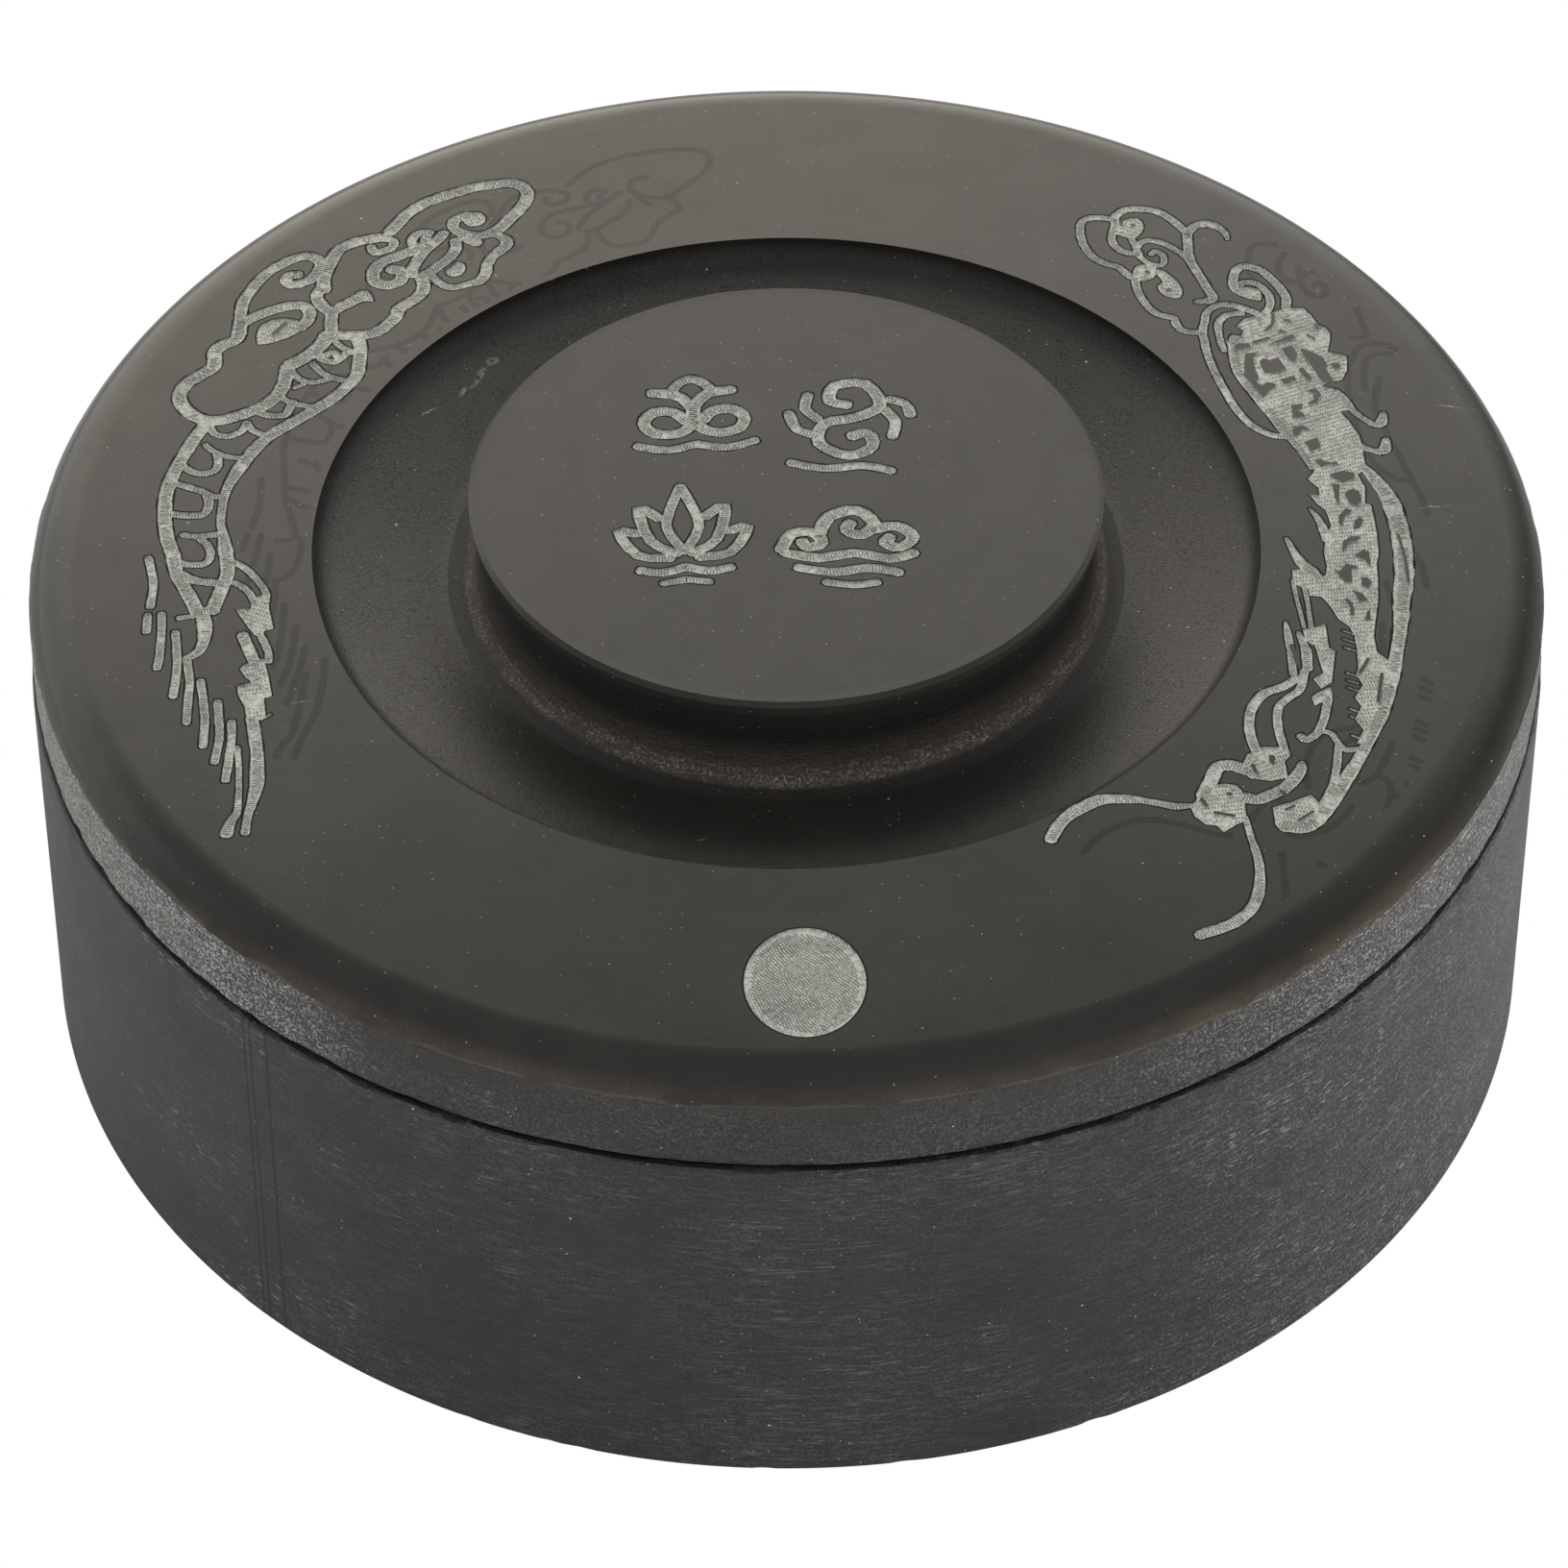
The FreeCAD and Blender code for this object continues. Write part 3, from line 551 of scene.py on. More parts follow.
bodyRightIslandFills = [
    [(31.2, 18.9), (31.8, 19), (32, 18.8), (31.7, 18.4), (31.8, 17.1), (32, 16.5), (31.8, 15.8),
        (32.2, 15.5), (32.5, 15.9), (33.1, 15.7), (33, 15.3), (32.5, 14.8), (32.2, 14.2),
        (31.7, 15.2), (31, 16.5), (31.1, 18.1)],
    [(32.1, 18.1), (32.4, 18.4), (32.9, 18.2), (33.4, 18.5), (33.9, 17.3), (33.1, 16.9),
        (32.4, 16.8)],
    [(33.7, 19.5), (34.4, 19.8), (34.7, 19), (34.5, 18), (34.1, 18.4), (33.8, 19.1)],
    [(35, 19.5), (35.7, 19.2), (36.4, 18.6), (36.7, 17.8), (36.6, 17.3), (37, 16.3), (36.9, 15.9),
        (36.3, 16), (35.8, 17.2), (35.2, 18.6)],
    [(32.9, 20), (33.7, 20.5), (34.5, 21), (34.7, 20.6), (33.8, 20.2)],
    [(30.5, 19.2), (30.5, 19.7), (30.8, 20), (31.5, 20), (31.6, 19.6), (31.1, 19.4)],
    [(33.5, 16.2), (34.4, 16.6), (34.5, 16.2), (33.9, 15.7), (33.6, 15.8)],
    [(37, 18), (37.5, 18), (37.6, 17.6), (37.3, 17.3), (37, 17.5)],
    [(35.2, 15.1), (35.8, 15.3), (36.1, 14.7), (35.8, 13.8), (35.3, 13.6), (35.2, 13.8),
        (35.6, 14.1), (35.6, 14.7)],
    [(34, 13.5), (34.8, 13.7), (34.7, 13.1), (34.3, 13), (34.8, 12.7), (34.9, 12.3), (34.1, 12.2)],
    [(34, 10.4), (34, 11.2), (34.7, 11.4), (35.2, 11), (34.6, 10.9), (34.3, 10.3)],
    [(34.7, 9.7), (35.6, 10.2), (35.8, 9.2), (35.1, 8.7)],
    [(35.3, 7.8), (35.7, 8), (36, 7.7), (36.8, 7.7), (36.8, 7.4), (36, 7.4), (35.7, 7.1)],
    [(36.2, 6.4), (37.1, 6.8), (37.9, 6.6), (37.8, 6), (37.1, 5.6), (36.4, 6)],
    [(36.3, 5.5), (36.8, 5.4), (36.7, 3.6), (36.5, 3.6)],
    [(37.7, 5), (38.1, 4.7), (38.2, 3.9), (37.9, 3.3), (37.4, 3.5), (37.1, 4.3), (37.3, 4.8)],
    [(37.1, 3), (37.5, 2.8), (36.9, 2), (36.8, 1.2), (36.5, 1.5), (36.6, 2.3)],
    [(38, 2.2), (38.2, 1.8), (37.9, 1), (37.5, 0.9), (37.6, 1.8)],
    [(36.6, -1.2), (36.7, -0.3), (37.3, 0.2), (37.9, 0.2), (37.7, -0.2), (37.1, -0.4),
        (36.8, -1.1)],
    [(37.4, -1.7), (38, -1.1), (38.4, -1.3), (38.4, -2.8), (38.1, -2.2)],
    [(36, -3), (36.3, -3.3), (36.8, -2.5), (37.6, -2.8), (37.1, -3.1), (37.1, -4.3), (36.7, -4.4),
        (36.3, -3.8)],
    [(37.7, -3.8), (38.1, -3.8), (38.4, -4.3), (38.1, -4.9), (37.7, -4.6)],
    [(37.1, -5.1), (37.7, -5.4), (38, -6.1), (37.5, -6.2)],
    [(37.9, -7.1), (38.1, -7), (38.1, -8), (37.7, -8)],
    [(30.8, -20.8), (31.2, -20.9), (31.1, -21.7), (30.8, -21.5)],
]
bodyRightIslands = [
    (0.4, [(34.9, 17.3), (35.4, 16.3)]),
    (0.26, [(31.8, 20.1), (32.9, 20.6)]),
    (0.24, [(33.3, 23.2), (33.2, 22.1), (32.7, 21.4)]),
    (0.16, [(35.5, 21), (36, 20.6)]),
    (0.18, [(34, 22.6), (34.5, 22.4)]),
    (0.18, [(33.6, 21.4), (34, 21.3)]),
    (0.2, [(36.1, 22.1), (36.3, 21.6)]),
    (0.2, [(38.5, 6.3), (39, 4.8), (39.5, 3.5)]),
    (0.2, [(40.4, 0.5), (40.7, -1.8), (40.8, -4.2)]),
    (0.25, [(36.6, -6), (36.9, -6.5), (36.9, -7.5)]),
    (0.25, [(37.7, -11.7), (37.1, -13)]),
    (0.25, [(38.5, -13.1), (38.1, -15.7)]),
    (0.25, [(29.7, -21.7), (29.9, -22.4)]),
    (0.25, [(27.1, -26.1), (28.3, -26.4)]),
    (0.25, [(26.3, -24.9), (26.6, -25.5)]),
    (0.3, [(28, -24.4), (28.2, -24.4)]),
    (0.25, [(31.4, -24.1), (31.9, -24.7)]),
    (0.18, [(31.6, -25.8), (32.2, -25.4)]),
    (0.16, [(32.4, -26.7), (33.4, -25.9)]),
    (0.3, [(32.8, -10.5), (33.1, -12.3)]),
    (0.22, [(33.5, -4.9), (33.6, -5.8)]),
]

# Each knob ornament is a generic scroll, with its strokes in a square of side 2 round (0, 0).


# The strokes with their mirror images.
def mirrored(strokes):
    return strokes + [(width, [(-x, y) for x, y in points]) for width, points in strokes]


ruyiCloud = mirrored([
    (0.2, [(-0.12, -0.12), (-0.3, 0.12), (-0.6, 0.14), (-0.76, -0.12), (-0.6, -0.38), (-0.25, -0.4),
        (0, -0.12), (-0.03, 0.25), (-0.25, 0.55), (-0.62, 0.62)]),
    (0.17, [(-0.3, 0.66), (-0.15, 0.86), (0.02, 0.95)]),
    (0.16, [(-0.9, -0.66), (-0.45, -0.8), (0, -0.68)]),
])
lotus = mirrored([
    (0.16, [(0, -0.35), (-0.24, 0.1), (-0.18, 0.45), (0, 0.9)]),
    (0.18, [(-0.1, -0.38), (-0.5, -0.12), (-0.66, 0.5), (-0.34, 0.3)]),
    (0.18, [(-0.2, -0.45), (-0.7, -0.38), (-0.98, 0.08), (-0.68, 0.02)]),
    (0.17, [(-0.7, -0.66), (-0.35, -0.72), (0, -0.62)]),
    (0.14, [(-0.36, -0.92), (0, -0.86)]),
])
vineScroll = [
    (0.2, [(0.12, -0.28), (0.36, -0.2), (0.46, -0.45), (0.12, -0.66), (-0.34, -0.45), (-0.3, -0.05),
        (0.16, 0.1), (0.5, 0.38), (0.24, 0.78), (-0.22, 0.7), (-0.26, 0.4), (0.02, 0.34)]),
    (0.17, [(-0.36, -0.3), (-0.7, -0.2), (-0.86, 0.12)]),
    (0.17, [(-0.4, 0.02), (-0.62, 0.22), (-0.6, 0.5)]),
    (0.17, [(0.56, 0.3), (0.76, 0.06), (0.74, -0.25)]),
    (0.17, [(0.62, 0.5), (0.88, 0.42), (0.98, 0.2)]),
    (0.16, [(-0.75, -0.86), (-0.2, -0.94), (0.35, -0.84), (0.8, -0.92)]),
]
cloudBank = [
    (0.19, [(-0.95, -0.15), (-0.8, 0.25), (-0.5, 0.3), (-0.36, 0.06), (-0.56, -0.06),
        (-0.66, 0.08)]),
    (0.2, [(-0.42, 0.24), (-0.28, 0.7), (0.1, 0.86), (0.36, 0.56), (0.2, 0.28), (-0.02, 0.36),
        (0.02, 0.56)]),
    (0.19, [(0.34, 0.4), (0.68, 0.5), (0.92, 0.24), (0.74, -0.02), (0.52, 0.08), (0.6, 0.24)]),
    (0.18, [(-0.9, -0.2), (-0.4, -0.32), (0.1, -0.18), (0.6, -0.3), (0.95, -0.14)]),
    (0.17, [(-0.7, -0.56), (-0.2, -0.66), (0.3, -0.54), (0.75, -0.64)]),
    (0.14, [(-0.3, -0.9), (0.1, -0.96), (0.45, -0.88)]),
]
knobPlaces = [
    dict(strokes=ruyiCloud, at=(-6.1, 7.3), across=4.4, along=4.1, turn=4),
    dict(strokes=vineScroll, at=(3.9, 6.7), across=4.4, along=5.1, turn=-5),
    dict(strokes=lotus, at=(-6.7, -4.4), across=4.3, along=5.2, turn=3),
    dict(strokes=cloudBank, at=(4, -5.6), across=4.6, along=4, turn=-2),
]
ringStrokes = cloudLeft + bodyLeft + tailLeft + cloudRight + bodyRight
# A faint darker copy of the drawing, shifted and turned, lies beside the cuts.
ghost = dict(shift=(6.72, 1.07), turn=-9.05, width=0.5)
# The round mark at the front of the lid.
dot = dict(centre=(1.06, -41.1), halfWidth=3.8, halfHeight=4.65, steps=72)


def ellipsePoints(centre, halfWidth, halfHeight, steps):
    angles = [2 * math.pi * k / steps for k in range(steps)]
    x, y = centre
    return [(x + halfWidth * math.cos(t), y + halfHeight * math.sin(t)) for t in angles]


dotOutline = ellipsePoints(**dot)


# The same strokes, each cut wider by the factor.
def widened(strokes, factor):
    result = []
    for width, points in strokes:
        wider = [(*p[:2], *(w * factor for w in p[2:])) for p in points]
        result.append((width * factor, wider))
    return result


# Each cut is ringed by "edge" shapes, a painted shadow outline.
def cutShapes(strokes, fills, rng, edgeWidth):
    shapes = []
    for width, points in strokes:
        shapes += [("cut", triangle) for triangle in ribbon(points, width, rng)]
        shapes += [("edge", triangle) for triangle in ribbon(points, width, rng, edgeWidth)]
    for outline in fills:
        shapes.append(("cut", outline))
        shapes.append(("edge", grown(outline, edgeWidth)))
    return shapes


# Triangles of a copy of the strokes, shifted and turned.
def shiftedCopy(strokes, rng):
    turn = Matrix.Rotation(math.radians(ghost["turn"]), 2)
    triangles = []
    for _, points in strokes:
        moved = [tuple(turn @ Vector(p[:2]) + Vector(ghost["shift"])) for p in points]
        triangles += ribbon(moved, ghost["width"], rng)
    return triangles


# Straight rows that cross a closed outline, as strokes for the ridges.
def rowsAcross(outline, spacing, width, angle):
    turned = [Matrix.Rotation(-angle, 2) @ Vector(p) for p in outline]
    back = Matrix.Rotation(angle, 2)
    rows = []
    level = min(p.y for p in turned) + spacing / 2
    while level < max(p.y for p in turned):
        hits = []
        for a, b in zip(turned, turned[1:] + turned[:1]):
            if (a.y > level) != (b.y > level):
                hits.append(a.x + (b.x - a.x) * (level - a.y) / (b.y - a.y))
        hits.sort()
        for start, finish in zip(hits[::2], hits[1::2]):
            if finish - start > 3 * width:
                ends = [back @ Vector((x, level)) for x in (start + width, finish - width)]
                rows.append((width, [tuple(end) for end in ends]))
        level += spacing
    return rows


def knobStrokes():
    strokes = []
    for place in knobPlaces:
        turn = Matrix.Rotation(math.radians(place["turn"]), 2)
        for width, points in place["strokes"]:
            moved = []
            for x, y in points:
                spot = turn @ Vector((x * place["across"], y * place["along"]))
                moved.append((spot.x + place["at"][0], spot.y + place["at"][1]))
            strokes.append((width * place["across"], moved))
    return strokes


# Nodes


def newMaterial(name):
    material = bpy.data.materials.new(name)
    material.use_nodes = True
    tree = material.node_tree
    tree.nodes.clear()
    return material, tree


# Adds a node. links gives its inputs by name or number: a socket to link, or a constant.
def makeNode(tree, kind, links=None, **settings):
    node = tree.nodes.new(kind)
    for key, value in settings.items():
        setattr(node, key, value)
    for key, value in (links or {}).items():
        socket = node.inputs[key]
        if isinstance(value, bpy.types.NodeSocket):
            tree.links.new(value, socket)
        else:
            socket.default_value = value
    return node


def maths(tree, operation, a, b=0.0):
    return makeNode(tree, "ShaderNodeMath", {0: a, 1: b}, operation=operation).outputs[0]


# The product of two values or more.
def times(tree, product, *others):
    for other in others:
        product = maths(tree, "MULTIPLY", product, other)
    return product


def plus(tree, a, b):
    return maths(tree, "ADD", a, b)


def most(tree, a, b):
    return maths(tree, "MAXIMUM", a, b)


def vectorMaths(tree, operation, a, b, result=0):
    node = makeNode(tree, "ShaderNodeVectorMath", {0: a, 1: b}, operation=operation)
    return node.outputs[result]


def stretched(tree, vector, factors):
    return vectorMaths(tree, "MULTIPLY", vector, factors)


def turnedFlat(tree, vector, angle):
    links = {"Vector": vector, "Angle": angle}
    node = makeNode(tree, "ShaderNodeVectorRotate", links, rotation_type="Z_AXIS")
    return node.outputs[0]


def mixColour(tree, factor, a, b):
    links = {0: factor, 6: a, 7: b}
    return makeNode(tree, "ShaderNodeMix", links, data_type="RGBA").outputs[2]


def remap(tree, value, fromLow, fromHigh, toLow=0.0, toHigh=1.0, shape="LINEAR"):
    links = {"Value": value, "From Min": fromLow, "From Max": fromHigh,
             "To Min": toLow, "To Max": toHigh}
    return makeNode(tree, "ShaderNodeMapRange", links, interpolation_type=shape).outputs["Result"]


def noise(tree, vector, scale, detail=3.0, roughness=0.5, result=0):
    links = {"Vector": vector, "Scale": scale, "Detail": detail, "Roughness": roughness}
    return makeNode(tree, "ShaderNodeTexNoise", links).outputs[result]


# Small round spots scattered over the stone: about share of the cells hold one.
def speckLayer(tree, vector, scale, size, share):
    links = {"Vector": vector, "Scale": scale}
    cells = makeNode(tree, "ShaderNodeTexVoronoi", links, feature="F1").outputs
    chance = makeNode(tree, "ShaderNodeSeparateColor", {0: cells["Color"]}).outputs
    reach = times(tree, plus(tree, chance[1], 0.3), size)
    near = maths(tree, "LESS_THAN", cells["Distance"], reach)
    return times(tree, near, maths(tree, "LESS_THAN", chance[0], share))


def millimetrePlace(tree):
    place = makeNode(tree, "ShaderNodeTexCoord").outputs["Object"]
    return stretched(tree, place, (1 / mm,) * 3)


# Adds sockets to a node group: a list of (name, kind), where kind is Float, Vector and so on.
def addSockets(group, direction, sockets):
    face = group.interface
    made = {}
    for name, kind in sockets:
        made[name] = face.new_socket(name, in_out=direction, socket_type="NodeSocket" + kind)
    return made


def newGroup(name, outputs):
    group = bpy.data.node_groups.new(name, "ShaderNodeTree")
    addSockets(group, "OUTPUT", [(output, "Float") for output in outputs])
    return group


def finishGroup(group, values):
    result = group.nodes.new("NodeGroupOutput")
    for name, value in values.items():
        group.links.new(value, result.inputs[name])
    return group


def groupValues(tree, group):
    return makeNode(tree, "ShaderNodeGroup", node_tree=group).outputs


# Effects that the finishes share

# Upright saw lines on the left front of the base: angles about the axis, in radians.
sawLine = dict(angles=(-2.326, -2.315, -2.287), outer=0.15, inner=0.05)
# Noise masks: (coordinates, scale, detail, roughness).
noiseMasks = dict(
    Grain=("slow", 1.6, 5.0, 0.68), Streaks=("quick", 1.15, 5.0, 0.72),
    Speckle=("plain", 5.2, 4.0, 0.75), Mottle=("plain", 0.09, 5.0, 0.6),
    Patches=("flat", 0.07, 3.0, 0.6), Cloud=("plain", 0.3, 4.0, 0.65),
)
# Masks of small spots, in layers: (coordinates' factors, scale, size, share of the cells).
spotMasks = dict(
    Specks=(((1.0, 1.0, 1.0), 0.5, 0.042, 0.4), ((1.0, 1.0, 1.0), 1.6, 0.075, 0.55)),
    Flecks=(((0.8, 0.8, 5.0), 1.0, 0.22, 0.5),),
    Pits=(((1.1, 0.9, 1.0), 0.5, 0.06, 0.3),),
)


# Lathe marks: masks that run round the piece without a seam, from object coordinates.
def makeTurnedGroup():
    names = ("Radius", "Height", "Across", "SawLines")
    group = newGroup("turnedStone", (*noiseMasks, *spotMasks, *names))
    spot = millimetrePlace(group)
    x, y, z = makeNode(group, "ShaderNodeSeparateXYZ", {0: spot}).outputs
    radius = maths(group, "SQRT", plus(group, times(group, x, x), times(group, y, y)))
    reach = plus(group, times(group, radius, 2.2), times(group, z, 4.0))
    parts = {0: times(group, x, 0.25), 1: times(group, y, 0.25), 2: reach}
    slow = makeNode(group, "ShaderNodeCombineXYZ", parts).outputs[0]
    sawLines = 0.0
    for angle in sawLine["angles"]:
        offset = maths(group, "SUBTRACT", times(group, x, math.sin(angle)),
                       times(group, y, math.cos(angle)))
        distance = maths(group, "ABSOLUTE", offset)
        near = remap(group, distance, sawLine["outer"], sawLine["inner"])
        sawLines = most(group, near, sawLines)
    onBaseLeft = times(group, maths(group, "LESS_THAN", x, 0.0),
                       maths(group, "LESS_THAN", z, lidSeat))
    places = dict(slow=slow, quick=stretched(group, slow, (1.9, 1.9, 1.25)), plain=spot,
                  flat=stretched(group, spot, (1.0, 1.0, 1.6)))
    values = dict(Radius=radius, Height=z, Across=x, SawLines=times(group, sawLines, onBaseLeft))
    for name, (place, scale, detail, roughness) in noiseMasks.items():
        values[name] = noise(group, places[place], scale, detail, roughness)
    for name, layers in spotMasks.items():
        mask = 0.0
        for factors, scale, size, share in layers:
            spots = speckLayer(group, stretched(group, spot, factors), scale, size, share)
            mask = most(group, spots, mask)
        values[name] = mask
    return finishGroup(group, values)


# Pale scuffs on the lid's top and in its trough, in millimetres: (x, y, half length,
# half width, turn in degrees).
paleScuffs = [
    (-20.9, 18.6, 1.3, 0.3, 70), (-21.9, 17.0, 0.9, 0.16, 62), (-19.9, 20.2, 0.8, 0.35, 35),
    (-24.2, 14.9, 0.9, 0.12, 40), (-31.2, -15.65, 1.1, 0.07, 3), (-5.4, -26.6, 0.5, 0.08, 20),
    (43.2, 3.2, 1.6, 0.09, 10), (44.6, 13.6, 1.2, 0.09, -4),
]


# The mask of one soft bar.
def makeBarGroup():
    group = bpy.data.node_groups.new("softBar", "ShaderNodeTree")
    addSockets(group, "INPUT", (("Spot", "Vector"), ("Centre", "Vector"), ("Turn", "Float"),
                                ("Scale", "Vector")))
    addSockets(group, "OUTPUT", [("Mask", "Float")])
    given = group.nodes.new("NodeGroupInput").outputs
    offset = vectorMaths(group, "SUBTRACT", given["Spot"], given["Centre"])
    scaled = stretched(group, turnedFlat(group, offset, given["Turn"]), given["Scale"])
    reach = vectorMaths(group, "LENGTH", scaled, (0, 0, 0), "Value")
    return finishGroup(group, {"Mask": remap(group, reach, 1.0, 0.45)})


# All pale scuffs, with their outlines strayed and broken up.
def makeScuffGroup():
    bar = makeBarGroup()
    group = newGroup("paleScuffs", ("Scuffs",))
    spot = millimetrePlace(group)
    wander = noise(group, spot, 0.7, result="Color")
    shift = vectorMaths(group, "SUBTRACT", wander, (0.5, 0.5, 0.5))
    strayed = vectorMaths(group, "ADD", stretched(group, shift, (0.9, 0.9, 0.0)), spot)
    total = 0.0
    for x, y, halfLength, halfWidth, turn in paleScuffs:
        links = {"Spot": strayed, "Centre": (x, y, 0), "Turn": math.radians(-turn),
                 "Scale": (1 / halfLength, 1 / halfWidth, 0)}
        mark = makeNode(group, "ShaderNodeGroup", links, node_tree=bar)
        total = most(group, mark.outputs[0], total)
    broken = remap(group, noise(group, spot, 2.4, 4.0, 0.7), 0.42, 0.6)
    return finishGroup(group, {"Scuffs": times(group, total, broken)})


# The graver's close hatching, in patches.
def makeHatchGroup():
    group = newGroup("graverHatch", ("Hatch", "Powder"))
    spot = millimetrePlace(group)
    links = {"Vector": turnedFlat(group, spot, -0.35), "Scale": 1.6, "Distortion": 1.2,
             "Detail": 2.0, "Detail Scale": 1.5}
    waves = makeNode(group, "ShaderNodeTexWave", links, wave_type="BANDS", bands_direction="X")
    patch = remap(group, noise(group, spot, 0.4, 3.0), 0.42, 0.62, 0.1, 0.9)
    values = {
        "Hatch": times(group, waves.outputs["Fac"], patch),
        "Powder": noise(group, spot, 3.6, 5.0, 0.7),
    }
    return finishGroup(group, values)


def addSurface(tree, colour, roughness, normal, shine=0.5):
    links = {"Base Color": colour, "Roughness": roughness, "Specular IOR Level": shine,
             "Normal": normal}
    surface = makeNode(tree, "ShaderNodeBsdfPrincipled", links)
    makeNode(tree, "ShaderNodeOutputMaterial", {0: surface.outputs[0]})


def addBump(tree, height, distance, strength=1.0):
    links = {"Strength": strength, "Distance": distance, "Height": height}
    return makeNode(tree, "ShaderNodeBump", links).outputs[0]


# Materials

dustColour = (0.42, 0.41, 0.38, 1)
# The colour of the painted sheen towards the ends of the sides.
paintedSheenColour = (0.36, 0.35, 0.342, 1)
# The dark and the light colour of each finish.
stoneColours = dict(
    rubbedStone=((0.018, 0.0166, 0.0145, 1), (0.026, 0.024, 0.0205, 1)),
    ghostStone=((0.009, 0.008, 0.007, 1), (0.014, 0.0125, 0.0105, 1)),
    blastedStone=((0.0175, 0.0165, 0.0154, 1), (0.0245, 0.0231, 0.0215, 1)),
    brushedStone=((0.017, 0.0161, 0.015, 1), (0.025, 0.0235, 0.0218, 1)),
    # The knob foot's light colour is the colour of a painted highlight.
    knobFootStone=((0.016, 0.0145, 0.0125, 1), (0.062, 0.053, 0.042, 1)),
    # The cut edge colours are a painted shadow outline along the cuts.
    cutShadowStone=((0.006, 0.0055, 0.005, 1), (0.012, 0.011, 0.01, 1)),
    engravedStone=((0.2, 0.203, 0.185, 1), (0.78, 0.79, 0.725, 1)),
    engravedRidges=((0.14, 0.145, 0.13, 1), (0.26, 0.265, 0.24, 1)),
)
# Where the finishes change, in millimetres: from where the effect starts to where it is full.
# The first five are radii, and the others are places across the object. Some of them place painted
# light: the glint on the arris, and the sheen and sparkle towards the left and right of the sides.
zones = dict(
    edge=(49.0, 49.9), bevel=(47.6, 48.8), withinTrough=(31.3, 31.0), pastKnob=(20.0, 22.5),
    withinFoot=(21.5, 21.05),
    front=(44.0, 34.0), bevelRight=(18.0, 44.0), troughRight=(8.0, 26.0),
    leftEnd=(-26.0, -47.0), rightEnd=(16.0, 46.0), sparkleAside=(12.0, 30.0),
)


# A colour times a factor, up to white.
def scaledColour(colour, factor):
    return tuple(min(part * factor, 1.0) for part in colour[:3]) + (1,)


# Pale specks of dust over a colour.
def dustOver(tree, turned, colour, amount):
    return mixColour(tree, times(tree, turned["Specks"], amount), colour, dustColour)


# A finish's dark and light colours, mixed in broad clouds.
def mottledStone(tree, turned, name):
    return mixColour(tree, remap(tree, turned["Mottle"], 0.3, 0.7), *stoneColours[name])


# The rubbed top: parts of colours and of shine, roughness, and heights for the bump.
topFinish = dict(
    # The arris colour is the colour of a painted bronze glint.
    grainColour=(0.1, 0.09, 0.075, 1), grain=0.04, paintedArrisGlintColour=(0.1, 0.078, 0.053, 1), dust=0.7,
    scuffs=0.6, dirtShine=0.35, bevelDull=0.85, troughDull=0.14,
    roughness=(0.19, 0.215), mottleRoughness=0.06, troughRoughness=0.08,
    bump=0.000004, speckHeight=0.6, troughHeight=9.0,
)


